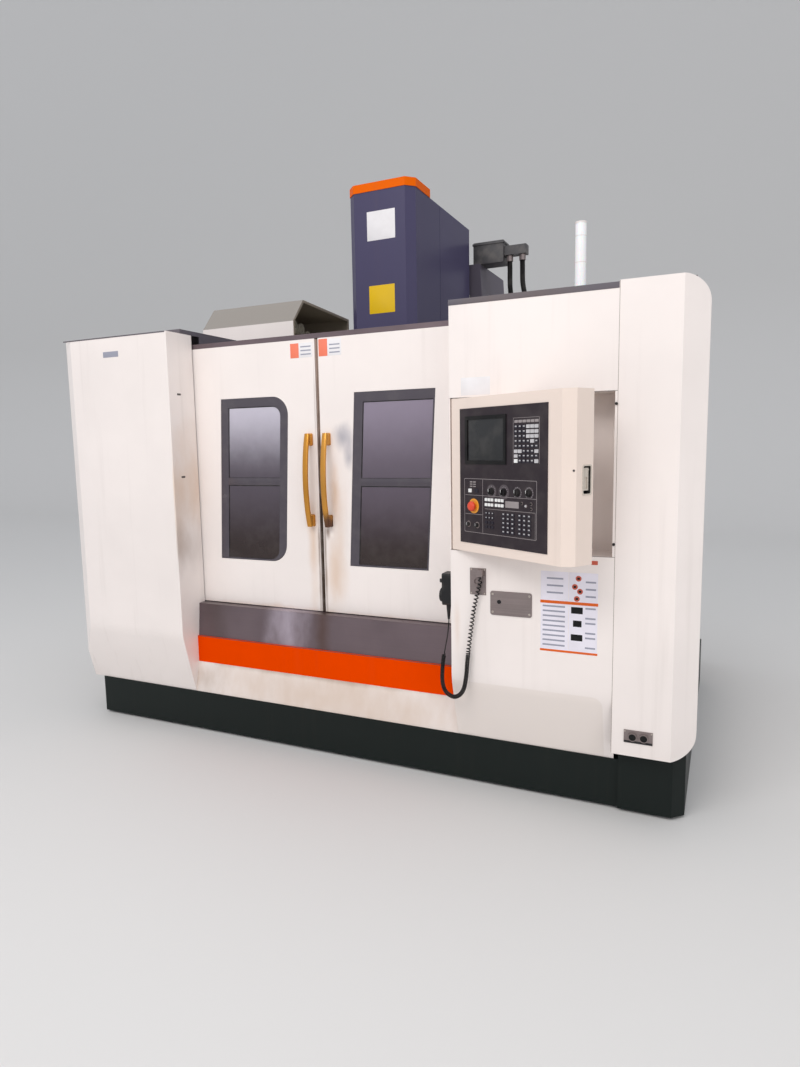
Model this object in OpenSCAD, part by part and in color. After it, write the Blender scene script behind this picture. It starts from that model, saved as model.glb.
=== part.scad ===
// Vertical machining center with a sheet-metal enclosure, two sliding doors and a
// swing-out operator box. Millimetres, Z up, front faces -Y, origin at the middle of the
// footprint on the floor. Shapes are drawn in machine places, where y = 0 is the front
// plane of the cabinets and y grows towards the back, and are then moved as a whole.

/* [Overall] */
// Width over both cabinets
body_w = 3220; // [3000:10:3500]
// Depth from the cabinets' front plane to the rear end of the bed
machine_depth = 2600; // [2500:10:2900]
// Depth of the enclosure behind the front plane
enclosure_depth = 1900; // [1880:10:2000]
// Thickness of the sheet metal
skin = 3; // [2:0.5:4]
// Height of the lower edge of the enclosure panels
panel_foot_z = 214; // [190:1:240]
// How far the front sheets wrap back, and how far the roofs are set back
wrap = 100; // [90:5:120]

/* [Left cabinet] */
// Width of the left cabinet's front
left_w = 742; // [700:1:780]
// Height of the left cabinet's front
left_top_z = 2088; // [2060:1:2150]
// Width of the strip at the left edge that leans back
strip_w = 77; // [50:1:110]
// How far that strip leans back
strip_back = 40; // [20:1:70]
// Height at which the left front starts to slope back
left_bevel_z = 530; // [420:5:600]
// How far the foot of both cabinets slopes back
bevel_back = 80; // [50:1:100]
// Height of the dark roof lip over the left cabinet
left_roof_h = 22; // [12:1:40]

/* [Door opening] */
// Set-back of the doors' front face
door_back = 190; // [185:1:215]
// Thickness of a door
door_t = 40; // [30:1:48]
// Height of the doors' lower edge
door_low_z = 687; // [660:1:700]
// Height of the doors' upper edge
door_high_z = 2017; // [1960:1:2030]
// How far a closed door reaches behind its cabinet
door_overlap = 20; // [10:1:30]
// Width of the dark joint between the closed doors
seal_gap = 20; // [12:1:30]
// Width of a door's folded rim
door_rim = 24; // [16:1:40]
// Height of the windows' lower edge
window_low_z = 925; // [880:5:1000]
// Height of the windows' upper edge
window_high_z = 1755; // [1600:5:1800]
// Width of a window
window_w = 412; // [300:2:430]
// How far a window leans to the right over its height
window_lean = 44; // [0:1:60]
// Corner radius of the left window's right side
window_r = 90; // [40:1:120]
// Distance of the left window from the doors' joint at the top
left_window_in = 168; // [150:1:200]
// Distance of the right window from the doors' joint at the top
right_window_in = 199; // [170:1:230]
// Length of a pull handle
handle_h = 452; // [350:2:500]
// Height of a handle's middle
handle_mid_z = 1341; // [1250:1:1400]
// Distance of a handle from the doors' joint
handle_in = 50; // [40:1:80]
// Width of a handle's bar
handle_w = 28; // [20:1:36]
// How far a handle's ends stand out
handle_end_out = 34; // [26:1:50]
// How much further its middle stands out
handle_bow = 28; // [10:1:50]

/* [Front apron] */
// Height of the orange band's lower edge
band_low_z = 369; // [330:1:380]
// Height of the orange band's upper edge
band_high_z = 509; // [480:1:540]
// Set-back of the orange band
band_back = 113; // [100:1:125]

/* [Right cabinet] */
// Width of the right cabinet's front
right_w = 674; // [660:1:720]
// Width of the fairing at the right corner
fairing_w = 308; // [290:1:330]
// Height of the right cabinet's front
right_top_z = 2084; // [2060:1:2150]
// Height at which the right front starts to slope back
right_bevel_z = 490; // [400:5:560]
// Height of the right roof lip
right_roof_h = 16; // [10:1:30]
// Lower edge of the operator box's bay
bay_low_z = 1060; // [1000:1:1100]
// Upper edge of the operator box's bay
bay_high_z = 1692; // [1660:1:1760]
// Depth of the bay
bay_depth = 172; // [170:1:180]
// Width of the frame to the right of the bay
bay_frame_w = 10; // [6:1:20]
// Width of the chamfer of the right-hand fairing
fairing_chamfer = 86; // [60:1:100]
// Height of the fairing's lower edge
fairing_foot_z = 270; // [240:1:300]
// Height of the fairing's upper edge
fairing_top_z = 2092; // [2086:1:2150]
// Depth of the fairing along the side
fairing_depth = 140; // [110:5:200]
// How far the right side panel lies inside the fairing
side_inset = 50; // [20:1:60]

/* [Operator box] */
// Width of the operator box
box_w = 646; // [600:1:648]
// Depth of the operator box
box_d = 127; // [120:1:140]
// Angle by which it is swung out
box_open = 30; // [10:1:45]
// Radius of its hinge edge
hinge_r = 12; // [10:1:14]
// Radius of its hinge pins
hinge_pin_r = 8; // [5:0.5:8.5]
// Size of the chamfer at the box's free front edge
box_chamfer = 36; // [20:1:50]
// Gap round the box in its bay
box_gap = 3; // [2:0.5:5]
// Distance of the face plate from the hinge side
plate_in = 65; // [40:1:80]
// Width of the face plate
plate_w = 482; // [460:1:500]
// Height of the face plate's lower edge
plate_low_z = 1101; // [1080:1:1120]
// Height of the face plate
plate_h = 544; // [540:1:570]
// Thickness of the face plate
plate_t = 3; // [2:0.5:6]
// Radius of the rotary knobs
knob_r = 14; // [10:1:18]
// Radius of the stop button's head
stop_r = 20; // [14:1:24]
// Travel of the stop button
stop_travel = 6; // [4:0.5:8]

/* [Base] */
// Clearance of the plinth over the floor
plinth_gap = 12; // [5:1:30]
// Set-back of the plinth
plinth_back = 75; // [60:1:90]
// Height of the bed's underside
bed_low_z = 70; // [60:1:90]
// Height of the bed's top face
bed_top_z = 500; // [480:1:515]
// Width of the bed
bed_w = 1400; // [1300:10:1450]
// Width of the bed's rear part under the column
bed_rear_w = 900; // [860:10:1000]
// Wall and rib thickness of the castings
cast_wall = 40; // [30:1:60]
// Radius of a levelling pad
pad_r = 60; // [50:1:65]
// Thickness of a levelling pad
pad_h = 25; // [20:1:35]
// Radius of the anchor holes in the bed's lugs
anchor_r = 14; // [12:0.5:17]

/* [Column and head] */
// Half width of the column at its foot
column_foot_w = 400; // [380:1:420]
// Half width of the column at its top
column_top_w = 255; // [240:1:300]
// Height of the column's top
column_top_z = 2700; // [2650:5:2800]
// Depth of the column
column_d = 550; // [450:5:600]
// Height and depth of the guide rails
rail_h = 50; // [40:1:50]
// Width of the guide rails
rail_w = 34; // [28:1:40]
// Distance of the spindle axis behind the front plane
spindle_back = 1156; // [1150:1:1170]
// Height of the spindle nose at the top of its travel
nose_z = 1740; // [1738:1:1760]
// Half width of the head cover
cover_half_w = 202; // [196:1:210]
// Chamfer of the head cover's front corners
cover_chamfer = 45; // [30:1:60]
// Distance of the head cover's front from the spindle axis
cover_front = 250; // [220:1:260]
// Height of the head cover's lower edge
cover_low_z = 1850; // [1810:1:1880]
// Height of the head cover's top
cover_top_z = 2907; // [2860:1:3000]
// Height of the orange cap on it
cap_h = 45; // [30:1:60]
// Length of the orange cap
cap_len = 250; // [200:5:300]
// Travel of the head
head_travel = 700; // [600:10:710]
// Radius of the spindle shaft
shaft_r = 40; // [36:0.5:44]

/* [Table] */
// Length of the table
table_len = 1200; // [1100:10:1220]
// Depth of the table
table_d = 600; // [500:10:620]
// Height of the table top
table_top_z = 920; // [915:1:940]
// Thickness of the table
table_t = 100; // [80:1:110]
// Travel of the table to each side
table_travel = 550; // [500:10:560]
// Travel of the saddle to front and back
saddle_travel = 350; // [300:5:355]
// Length of the saddle across the machine
saddle_len = 1640; // [1640:10:1700]
// Depth of the saddle
saddle_d = 500; // [460:10:500]
// Height of the saddle's top
saddle_top_z = 760; // [740:1:765]
// Width of a T-slot's neck
slot_w = 18; // [14:1:22]
// Distance between T-slots
slot_pitch = 100; // [80:1:110]

/* [Tool magazine] */
// Clearance between the inner wall and the magazine hood's left end
hood_clear = 13; // [11:1:30]
// Distance of the hood's open right end from the spindle's axis
hood_reach = 532; // [520:1:540]
// Distance of the hood's front behind the front plane
hood_back = 820; // [815:1:825]
// Height at which the hood's front starts to slope
hood_bend_z = 2239; // [2230:1:2270]
// Height of the hood's upper front edge
hood_top_z = 2376; // [2370:1:2420]
// Number of tool pots
pot_count = 20; // [16:1:20]
// Radius of the circle of pots
pot_circle_r = 270; // [260:1:275]
// Outer radius of a pot
pot_r = 34; // [30:1:36]
// Reach of the change arm
arm_reach = 330; // [320:1:335]

/* [Electrical cabinet] */
// Distance of the electrical cabinet's left end from the spindle's axis
ecab_reach = 620; // [600:5:660]
// Width of the electrical cabinet
ecab_w = 1000; // [800:5:1040]
// Depth of the electrical cabinet
ecab_d = 440; // [350:5:500]
// Height of its lower edge
ecab_low_z = 300; // [250:5:400]
// Height of its top
ecab_top_z = 2050; // [1900:5:2060]

/* [Handwheel unit] */
// Thickness of the unit
unit_t = 45; // [38:1:50]
// Width of the unit
unit_w = 76; // [70:1:90]
// Height of the unit's lower edge
unit_low_z = 812; // [800:1:830]
// Height of the unit
unit_h = 140; // [130:1:160]
// Radius of the dial
dial_r = 30; // [24:1:33]

/* [Hidden] */

$fn = 48;

// Clearances
slide_gap = 0.3;
fit = 0.05;

// How far a lug, pin or rail is rooted in the wall it is welded to
root = 1;

// Places across the machine
left_x = -body_w / 2;
right_x = body_w / 2;
open_x0 = left_x + left_w;
open_x1 = right_x - fairing_w - right_w;
mid_x = (open_x0 + open_x1) / 2;
fair_x0 = open_x1 + right_w;
fair_x1 = right_x - fairing_chamfer;
side_x = right_x - side_inset;
inner_x0 = left_x + 280;
inner_x1 = side_x - 465;
hood_left_x = inner_x0 + hood_clear;
hood_right_x = mid_x - hood_reach;
ecab_x = mid_x + ecab_reach;

// How far the swung-out box stands in front of the front plane, and the whole depth
box_ahead = (box_w - box_chamfer - hinge_r) * sin(box_open)
  - hinge_r * (1 - cos(box_open));
front_y = (box_ahead - machine_depth) / 2;

// Places along the machine
pocket_y = door_back - 6;
door_rear = door_back + door_t;
wall_y = door_rear + 10;
inner_rear = enclosure_depth - skin - 52;
column_y = enclosure_depth;
rail_y = column_y - rail_h;

// Colours
ivory = [0.93, 0.90, 0.85];
dark_blue = [0.30, 0.29, 0.38];
orange = [0.90, 0.33, 0.06];
grey_metal = [0.45, 0.41, 0.43];
plinth_black = [0.12, 0.15, 0.14];
iron = [0.35, 0.37, 0.38];
steel = [0.70, 0.71, 0.73];
black = [0.08, 0.08, 0.09];

// Moves a shape from machine places to the part's own frame
module place() {
  translate([0, front_y, 0]) children();
}

// A block from its low corner to its high corner
module block(low, high) {
  translate(low) cube(high - low);
}

// Carries a (y, z) outline along X
module run_x(x0, x1) {
  translate([x0, 0, 0]) rotate([90, 0, 90]) linear_extrude(x1 - x0) children();
}

// Carries an (x, z) outline along Y
module run_y(y0, y1) {
  translate([0, y1, 0]) rotate([90, 0, 0]) linear_extrude(y1 - y0) children();
}

// Carries an (x, y) outline along Z
module run_z(z0, z1) {
  translate([0, 0, z0]) linear_extrude(z1 - z0) children();
}

// A round bar along Y, and one along X
module bar_y(x, z, r, y0, y1) {
  translate([x, y0, z]) rotate([-90, 0, 0]) cylinder(r = r, h = y1 - y0);
}
module bar_x(y, z, r, x0, x1) {
  translate([x0, y, z]) rotate([0, 90, 0]) cylinder(r = r, h = x1 - x0);
}

// Points of the round corner at b between the lines to a and to c
function round_corner(a, b, c, r, steps = 8) =
  let (u = (a - b) / norm(a - b), v = (c - b) / norm(c - b),
    half = acos(u * v) / 2,
    middle = b + (u + v) / norm(u + v) * r / sin(half),
    from = b + u * r / tan(half) - middle,
    to = b + v * r / tan(half) - middle,
    a0 = atan2(from.y, from.x),
    turn = atan2(from.x * to.y - from.y * to.x, from * to))
  [for (i = [0 : steps]) middle + r * [cos(a0 + turn * i / steps), sin(a0 + turn * i / steps)]];

// A rectangle whose four corners have their own radii, from low left round to top left
module round_rect(low, high, r) {
  corners = [[low.x, low.y, 1, 1], [high.x, low.y, -1, 1],
    [high.x, high.y, -1, -1], [low.x, high.y, 1, -1]];
  difference() {
    translate(low) square(high - low);
    for (i = [0 : 3])
      if (r[i] > 0)
        translate([corners[i][0], corners[i][1]])
          scale([corners[i][2], corners[i][3]])
            difference() {
              translate([-1, -1]) square(r[i] + 1);
              translate([r[i], r[i]]) circle(r[i]);
            }
  }
}

// A tube swept along a list of points, with an upright-stable frame from ring to ring
function unit(v) = v / norm(v);
function tangents(p) = [for (i = [0 : len(p) - 1])
  unit(p[min(i + 1, len(p) - 1)] - p[max(i - 1, 0)])];
function curve_point(p, i, t) =
  let (last = len(p) - 1, a = p[max(i - 1, 0)], b = p[i], c = p[i + 1], d = p[min(i + 2, last)])
  0.5 * (2 * b + t * (c - a) + t * t * (2 * a - 5 * b + 4 * c - d)
    + t * t * t * (3 * b - a - 3 * c + d));
function smooth_path(p, steps) = concat(
  [for (i = [0 : len(p) - 2]) for (j = [0 : steps - 1]) curve_point(p, i, j / steps)],
  [p[len(p) - 1]]);
module tube(points, r, sides, side_way) {
  t = tangents(points);
  rings = len(points);
  v = [for (i = [0 : rings - 1])
    let (n = unit(side_way - (side_way * t[i]) * t[i]), b = cross(t[i], n))
    for (k = [0 : sides - 1])
      points[i] + r * (cos(360 * k / sides) * n + sin(360 * k / sides) * b)];
  sides_f = [for (i = [0 : rings - 2]) for (k = [0 : sides - 1])
    let (m = (k + 1) % sides)
    [i * sides + k, (i + 1) * sides + k, (i + 1) * sides + m, i * sides + m]];
  caps = [[for (k = [0 : sides - 1]) k],
    [for (k = [sides - 1 : -1 : 0]) (rings - 1) * sides + k]];
  polyhedron(v, concat(sides_f, caps));
}

// BASE

// Bed: a T-shaped casting, open and ribbed underneath, with pads for the Y rails
bed_front = 300;
bed_neck_y = enclosure_depth - 60;
pocket_pitch = 220;
y_rail_in = 330;
y_rail_front = bed_front + 40;
lug_out = 90;
lug_d = 130;
lug_h = 50;
lug_front_y = bed_front + 160;
lug_rear_y = bed_neck_y - 160;
boss_half = 50;
foot_in = cast_wall + boss_half;
feet = concat(
  [for (y = [bed_front + foot_in, (bed_front + bed_neck_y) / 2, bed_neck_y - foot_in])
    for (side = [-1, 1]) [mid_x + side * (bed_w / 2 - foot_in), y, 0]],
  [for (side = [-1, 1])
    [mid_x + side * (bed_rear_w / 2 - foot_in), machine_depth - foot_in, 0]]);

module bed_plan(o) {
  w = bed_w / 2 - o;
  rw = bed_rear_w / 2 - o;
  polygon([[mid_x - w, bed_front + o], [mid_x + w, bed_front + o],
    [mid_x + w, bed_neck_y - o], [mid_x + rw, bed_neck_y - o],
    [mid_x + rw, machine_depth - o], [mid_x - rw, machine_depth - o],
    [mid_x - rw, bed_neck_y - o], [mid_x - w, bed_neck_y - o]]);
}

module bed() {
  color(iron) place() {
    difference() {
      run_z(bed_low_z, bed_top_z) bed_plan(0);
      difference() {
        run_z(bed_low_z - 1, bed_top_z - cast_wall) bed_plan(cast_wall);
        for (x = [-2 : 2])
          translate([mid_x + x * pocket_pitch - cast_wall / 2, bed_front, 0])
            cube([cast_wall, machine_depth - bed_front, bed_top_z]);
        for (at = feet)
          translate(at - [boss_half, boss_half, 0]) cube([2 * boss_half, 2 * boss_half, bed_top_z]);
        for (y = [bed_front + pocket_pitch : pocket_pitch * 1.5 : machine_depth])
          translate([mid_x - bed_w / 2, y, 0]) cube([bed_w, cast_wall, bed_top_z]);
      }
    }
    for (side = [-1, 1]) for (y = [lug_front_y, lug_rear_y])
      difference() {
        translate([mid_x + side * (bed_w + lug_out - root) / 2, y, bed_low_z + lug_h / 2])
          cube([lug_out + root, lug_d, lug_h], center = true);
        translate([mid_x + side * (bed_w + lug_out) / 2, y, bed_low_z - 1])
          cylinder(r = anchor_r, h = lug_h + 2);
      }
  }
}

// Levelling feet: pads with their screws, under the bed
module levelling_feet() {
  color(steel) place() for (at = feet) translate(at) foot(16);
}
module foot(screw_r) {
  chamfer = 6;
  cylinder(r = pad_r, h = pad_h - chamfer);
  translate([0, 0, pad_h - chamfer]) cylinder(r1 = pad_r, r2 = pad_r - chamfer, h = chamfer);
  translate([0, 0, pad_h]) cylinder(r = screw_r, h = bed_low_z - pad_h);
  translate([0, 0, pad_h]) cylinder(r = screw_r * 1.8, h = 16, $fn = 6);
}

// Plinth: a folded sheet under the enclosure, and a separate block under the fairing
plinth_x0 = left_x + 72;
block_x0 = fair_x0 + 20;
block_chamfer = 46;
block_front = 62;
flange_w = 40;

module plinth_plan(o) {
  translate([plinth_x0 + o, plinth_back + o])
    square([block_x0 + skin - plinth_x0 - 2 * o, enclosure_depth - plinth_back - 2 * o]);
}
module block_plan(o) {
  x1 = side_x + 16 - o;
  y0 = block_front + o;
  polygon([[block_x0 + o, y0], [x1 - block_chamfer, y0], [x1, y0 + block_chamfer],
    [x1, enclosure_depth - o], [block_x0 + o, enclosure_depth - o]]);
}
module base_skirt() {
  color(plinth_black) place() {
    difference() {
      run_z(plinth_gap, panel_foot_z) plinth_plan(0);
      run_z(plinth_gap - 1, panel_foot_z - skin) plinth_plan(skin);
      run_z(plinth_gap - 1, panel_foot_z + 1) plinth_plan(flange_w);
      block([mid_x - bed_rear_w / 2 - 5, enclosure_depth - flange_w - 1, 0],
        [mid_x + bed_rear_w / 2 + 5, enclosure_depth + 1, panel_foot_z + 1]);
    }
    difference() {
      run_z(plinth_gap, fairing_foot_z) block_plan(0);
      run_z(plinth_gap - 1, fairing_foot_z - skin) block_plan(skin);
      run_z(plinth_gap - 1, fairing_foot_z + 1) block_plan(flange_w);
    }
  }
}

// ENCLOSURE

// Side profile of a cabinet front: upright, then a rounded bend, then the sloping foot
bend_r = 260;
function front_profile(o, top, bend_z, back) = concat(
  [[back, top], [o, top]],
  round_corner([o, top], [o, bend_z], [bevel_back + o, panel_foot_z], bend_r),
  [[bevel_back + o, panel_foot_z], [back, panel_foot_z]]);

module left_plan(o) {
  polygon([[left_x + o, strip_back + o], [left_x + strip_w, o], [open_x0 - o, o],
    [open_x0 - o, pocket_y + o], [left_x + o, pocket_y + o]]);
}

// Left cabinet front: one folded sheet with the leaning strip and the return to the door
module left_front_panel() {
  color(ivory) place() difference() {
    intersection() {
      run_z(panel_foot_z, left_top_z) left_plan(0);
      run_x(left_x, open_x0)
        polygon(front_profile(0, left_top_z, left_bevel_z, pocket_y));
    }
    intersection() {
      run_z(panel_foot_z - 1, left_top_z - skin) left_plan(skin);
      run_x(left_x, open_x0)
        polygon(concat([[pocket_y + skin, left_top_z], [skin, left_top_z]],
          round_corner([skin, left_top_z], [skin, left_bevel_z],
            [bevel_back + skin, panel_foot_z], bend_r),
          [[bevel_back + skin, panel_foot_z - 1],
            [pocket_y + skin, panel_foot_z - 1]]));
    }
    block([left_x - 1, wrap, 0], [open_x0 - skin, pocket_y + skin, left_top_z + 1]);
  }
}

// Left side panel, with the joints of its three sheets as shallow grooves
module side_sheet(x, outside, y0, foot, top) {
  seam_w = 4;
  seam_depth = 1.5;
  third = (enclosure_depth - y0) / 3;
  difference() {
    block([x, y0, foot], [x + skin, enclosure_depth, top]);
    for (i = [1, 2])
      translate([x + (outside > 0 ? skin - seam_depth : -1), y0 + i * third - seam_w / 2, foot - 1])
        cube([seam_depth + 1, seam_w, top - foot + 2]);
  }
}
module left_side_panel() {
  color(ivory) place() {
    side_sheet(left_x, -1, wrap, panel_foot_z, left_top_z);
    block([left_x + skin, wrap, panel_foot_z],
      [plinth_x0 + flange_w, enclosure_depth - skin, panel_foot_z + skin]);
  }
}

// Right cabinet, upper sheet over the bay, with the upper hinge pin of the operator box
hinge_x = open_x1 + skin + 2 + hinge_r;
hinge_y = hinge_r;
pin_len = 18;

module right_upper_panel() {
  color(ivory) place() {
    difference() {
      block([open_x1, 0, bay_high_z], [fair_x0, pocket_y, right_top_z]);
      block([open_x1 + skin, skin, bay_high_z + skin],
        [fair_x0 + 1, pocket_y + 1, right_top_z - skin]);
      block([open_x1 + skin, bay_depth + skin, bay_high_z - 1],
        [fair_x0 + 1, pocket_y + 1, bay_high_z + skin + 1]);
      block([open_x1 + skin, wrap, right_top_z - skin - 1],
        [fair_x0 + 1, pocket_y + 1, right_top_z + 1]);
    }
    translate([hinge_x, hinge_y, bay_high_z - pin_len])
      cylinder(r = hinge_pin_r, h = pin_len + root);
  }
}

// Right cabinet, lower sheet with the sloping foot and the lower hinge pin
module right_lower_panel() {
  color(ivory) place() {
    difference() {
      run_x(open_x1, fair_x0)
        polygon(front_profile(0, bay_low_z, right_bevel_z, pocket_y));
      run_x(open_x1 + skin, fair_x0 + 1)
        polygon(concat([[pocket_y + 1, bay_low_z - skin], [skin, bay_low_z - skin]],
          round_corner([skin, bay_low_z], [skin, right_bevel_z],
            [bevel_back + skin, panel_foot_z], bend_r),
          [[bevel_back + skin, panel_foot_z - 1], [pocket_y + 1, panel_foot_z - 1]]));
      block([open_x1 + skin, bay_depth + skin, bay_low_z - skin - 1],
        [fair_x0 + 1, pocket_y + 1, bay_low_z + 1]);
    }
    translate([hinge_x, hinge_y, bay_low_z - root])
      cylinder(r = hinge_pin_r, h = pin_len + root);
  }
}

// Bay of the operator box: left return, back wall and right frame, folded from one sheet
module pendant_bay() {
  x1 = fair_x0 - bay_frame_w;
  color(ivory) place() run_z(bay_low_z, bay_high_z)
    polygon([[open_x1, 0], [open_x1 + skin, 0], [open_x1 + skin, bay_depth],
      [x1, bay_depth], [x1, 0], [fair_x0, 0], [fair_x0, skin], [x1 + skin, skin],
      [x1 + skin, bay_depth + skin], [open_x1 + skin, bay_depth + skin],
      [open_x1 + skin, pocket_y], [open_x1, pocket_y]]);
}

// Fairing: the chamfered vertical sheet at the right front corner
module fairing_plan(o) {
  polygon([[fair_x0 + (o > 0 ? -1 : 0), o], [fair_x1 - o * 0.41, o],
    [right_x - o, fairing_chamfer + o * 0.41], [right_x - o, fairing_depth - o],
    [side_x - o, fairing_depth - o], [side_x - o, fairing_depth + o],
    [fair_x0 + (o > 0 ? -1 : 0), fairing_depth + o]]);
}
module fairing_face(o) {
  r = fairing_chamfer;
  round_rect([fair_x0 - 2, fairing_foot_z + o], [right_x - o, fairing_top_z - o],
    [0, r - o, r - o, 0]);
}
module right_fairing() {
  color(ivory) place() intersection() {
    difference() {
      intersection() {
        run_z(fairing_foot_z, fairing_top_z) fairing_plan(0);
        run_y(0, fairing_depth + 1) fairing_face(0);
      }
      intersection() {
        run_z(fairing_foot_z, fairing_top_z) fairing_plan(skin);
        run_y(0, fairing_depth + skin) fairing_face(skin);
      }
    }
    block([fair_x0, 0, 0], [right_x, fairing_depth, fairing_top_z]);
  }
}

// Right side panel behind the fairing
module right_side_panel() {
  color(ivory) place() {
    side_sheet(side_x - skin, 1, fairing_depth, fairing_foot_z, right_top_z);
    block([side_x - flange_w, fairing_depth, fairing_foot_z],
      [side_x - skin, enclosure_depth - skin, fairing_foot_z + skin]);
  }
}

// Roofs: folded dark sheets, set back from the fronts
track_top_z = door_high_z + 24;
module left_roof_plan(o) {
  polygon([[left_x + o, wrap + o], [open_x0 - o, wrap + o], [open_x0 - o, hood_back - 5 - o],
    [inner_x0 - o, hood_back - 5 - o], [inner_x0 - o, enclosure_depth - o],
    [left_x + o, enclosure_depth - o]]);
}
module cabinet_roofs() {
  color(dark_blue) place() {
    difference() {
      run_z(left_top_z, left_top_z + left_roof_h) left_roof_plan(0);
      run_z(left_top_z - 1, left_top_z + left_roof_h - skin) left_roof_plan(skin);
    }
    block([open_x0 - skin, wall_y + skin + 2, track_top_z], [open_x0, hood_back - 5, left_top_z]);
    block([inner_x0 - skin, hood_back - 5, track_top_z], [inner_x0, inner_rear, left_top_z]);
    block([open_x1, wall_y + skin + 2, track_top_z], [open_x1 + skin, inner_rear, right_top_z]);
    difference() {
      run_y(wrap, enclosure_depth) right_roof_face(0);
      run_y(wrap + skin, enclosure_depth - skin) right_roof_face(skin);
      block([fair_x0, wrap - 1, right_top_z - 1], [right_x, fairing_depth, fairing_top_z]);
    }
  }
}
module right_roof_face(o) {
  z1 = right_top_z + right_roof_h - o;
  polygon([[open_x1 + 3 * o, right_top_z - (o > 0 ? 1 : 0)], [open_x1 + 44, z1],
    [side_x - o, z1], [side_x - o, right_top_z - (o > 0 ? 1 : 0)]]);
}

// Rear panels, cut along the sides of the column, and the right one's foot
function column_half(z) = column_foot_w
  + (column_top_w - column_foot_w) * (z - bed_top_z) / (column_top_z - bed_top_z);
module rear_panel() {
  gap = 3;
  z1 = left_top_z;
  rear_foot_z = bed_top_z + 10;
  color(ivory) place() {
    difference() {
      run_y(enclosure_depth - skin, enclosure_depth) polygon([
        [left_x + skin, panel_foot_z],
        [mid_x - bed_rear_w / 2 - gap, panel_foot_z],
        [mid_x - bed_rear_w / 2 - gap, rear_foot_z],
        [mid_x - column_half(rear_foot_z) - gap, rear_foot_z],
        [mid_x - column_half(z1) - gap, z1], [left_x + skin, z1]]);
      vents(left_x + 200, enclosure_depth);
    }
    difference() {
      run_y(enclosure_depth - skin, enclosure_depth) polygon([
        [mid_x + bed_rear_w / 2 + gap, panel_foot_z],
        [block_x0, panel_foot_z], [block_x0, fairing_foot_z],
        [side_x - skin, fairing_foot_z], [side_x - skin, right_top_z],
        [mid_x + column_half(right_top_z) + gap, right_top_z],
        [mid_x + column_half(rear_foot_z) + gap, rear_foot_z],
        [mid_x + bed_rear_w / 2 + gap, rear_foot_z]]);
    }
  }
}

// A group of louvre slots
module vents(x, y) {
  slot_len = 260;
  slot_h = 10;
  for (i = [0 : 9])
    translate([x, y - skin - 1, 620 + i * 34]) cube([slot_len, skin + 2, slot_h]);
}

// Inner enclosure: the wet walls round the table, chip trays beside the bed, and the
// fixed front section of the telescopic way cover
tray_z = 440;
cover_y0 = bed_front + 20;
cover_t = 4;
cover_step = cover_t + slide_gap;
cover_base_z = 590;
section_len = spindle_back - saddle_d / 2 - saddle_travel - cover_y0 - slide_gap;
module cover_section(level, y0, foot) {
  low = 380 + level * cover_step;
  high = 300 + level * cover_step;
  top = cover_base_z + level * cover_step;
  mid = 545 + level * cover_step;
  run_y(y0, y0 + section_len) translate([mid_x, 0]) polygon([
    [-low, foot], [-low, mid], [-high, top], [high, top], [low, mid], [low, foot],
    [low - cover_t, foot], [low - cover_t, mid - 2], [high - 2, top - cover_t],
    [-high + 2, top - cover_t], [-low + cover_t, mid - 2], [-low + cover_t, foot]]);
}
module inner_enclosure() {
  x0 = inner_x0 + skin + slide_gap;
  x1 = inner_x1 - skin - slide_gap;
  y0 = wall_y + skin + slide_gap;
  y1 = inner_rear - skin - slide_gap;
  sill_z = door_low_z - 4;
  side_in = bed_w / 2 + 1;
  rear_in = bed_rear_w / 2 + 10;
  color(grey_metal) place() {
    block([inner_x0, wall_y, tray_z], [inner_x0 + skin, inner_rear, track_top_z]);
    block([inner_x1 - skin, wall_y, tray_z], [inner_x1, inner_rear, track_top_z]);
    block([x0, wall_y, tray_z], [open_x0 - slide_gap, wall_y + skin, track_top_z]);
    block([open_x0, wall_y, tray_z], [open_x1, wall_y + skin, sill_z]);
    block([open_x1 + slide_gap, wall_y, tray_z], [x1, wall_y + skin, track_top_z]);
    block([x0, inner_rear - skin, tray_z], [mid_x - rear_in, inner_rear, track_top_z]);
    block([mid_x + rear_in, inner_rear - skin, tray_z], [x1, inner_rear, track_top_z]);
    block([x0, y0, tray_z], [mid_x - side_in, y1, tray_z + skin]);
    block([mid_x + side_in, y0, tray_z], [x1, y1, tray_z + skin]);
    cover_section(0, cover_y0, bed_top_z);
  }
}

// FRONT APRON AND DOOR TRACKS

// White sill between the cabinets, from the plinth to the orange band
sill_rear = 140;
module sill_panel() {
  color(ivory) place() run_x(open_x0, open_x1) polygon([
    [bevel_back, panel_foot_z], [band_back - 4, band_low_z - 4],
    [band_back - 4, band_low_z], [sill_rear, band_low_z],
    [sill_rear, band_low_z - skin], [band_back + 8, band_low_z - skin],
    [bevel_back + skin, panel_foot_z]]);
}
module orange_band() {
  color(orange) place() difference() {
    run_x(open_x0, open_x1) polygon([[band_back, band_low_z], [band_back, band_high_z],
      [sill_rear, band_high_z], [sill_rear, band_low_z]]);
    block([open_x0 + 20, band_back + skin, band_low_z + skin],
      [open_x1 - 20, sill_rear + 1, band_high_z - skin]);
  }
}

// Grey metal apron with the ledge under the doors
module front_apron() {
  front_low = band_back + 11;
  front_high = band_back + 26;
  ledge_z = door_low_z - 4;
  color(grey_metal) place() run_x(open_x0, open_x1) polygon([
    [front_low, band_high_z], [front_high, ledge_z - 8], [front_high, ledge_z],
    [wall_y, ledge_z], [wall_y, ledge_z - skin], [front_high + skin + 1, ledge_z - skin],
    [front_low + skin, band_high_z + skin], [sill_rear, band_high_z + skin],
    [sill_rear, band_high_z]]);
}

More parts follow.
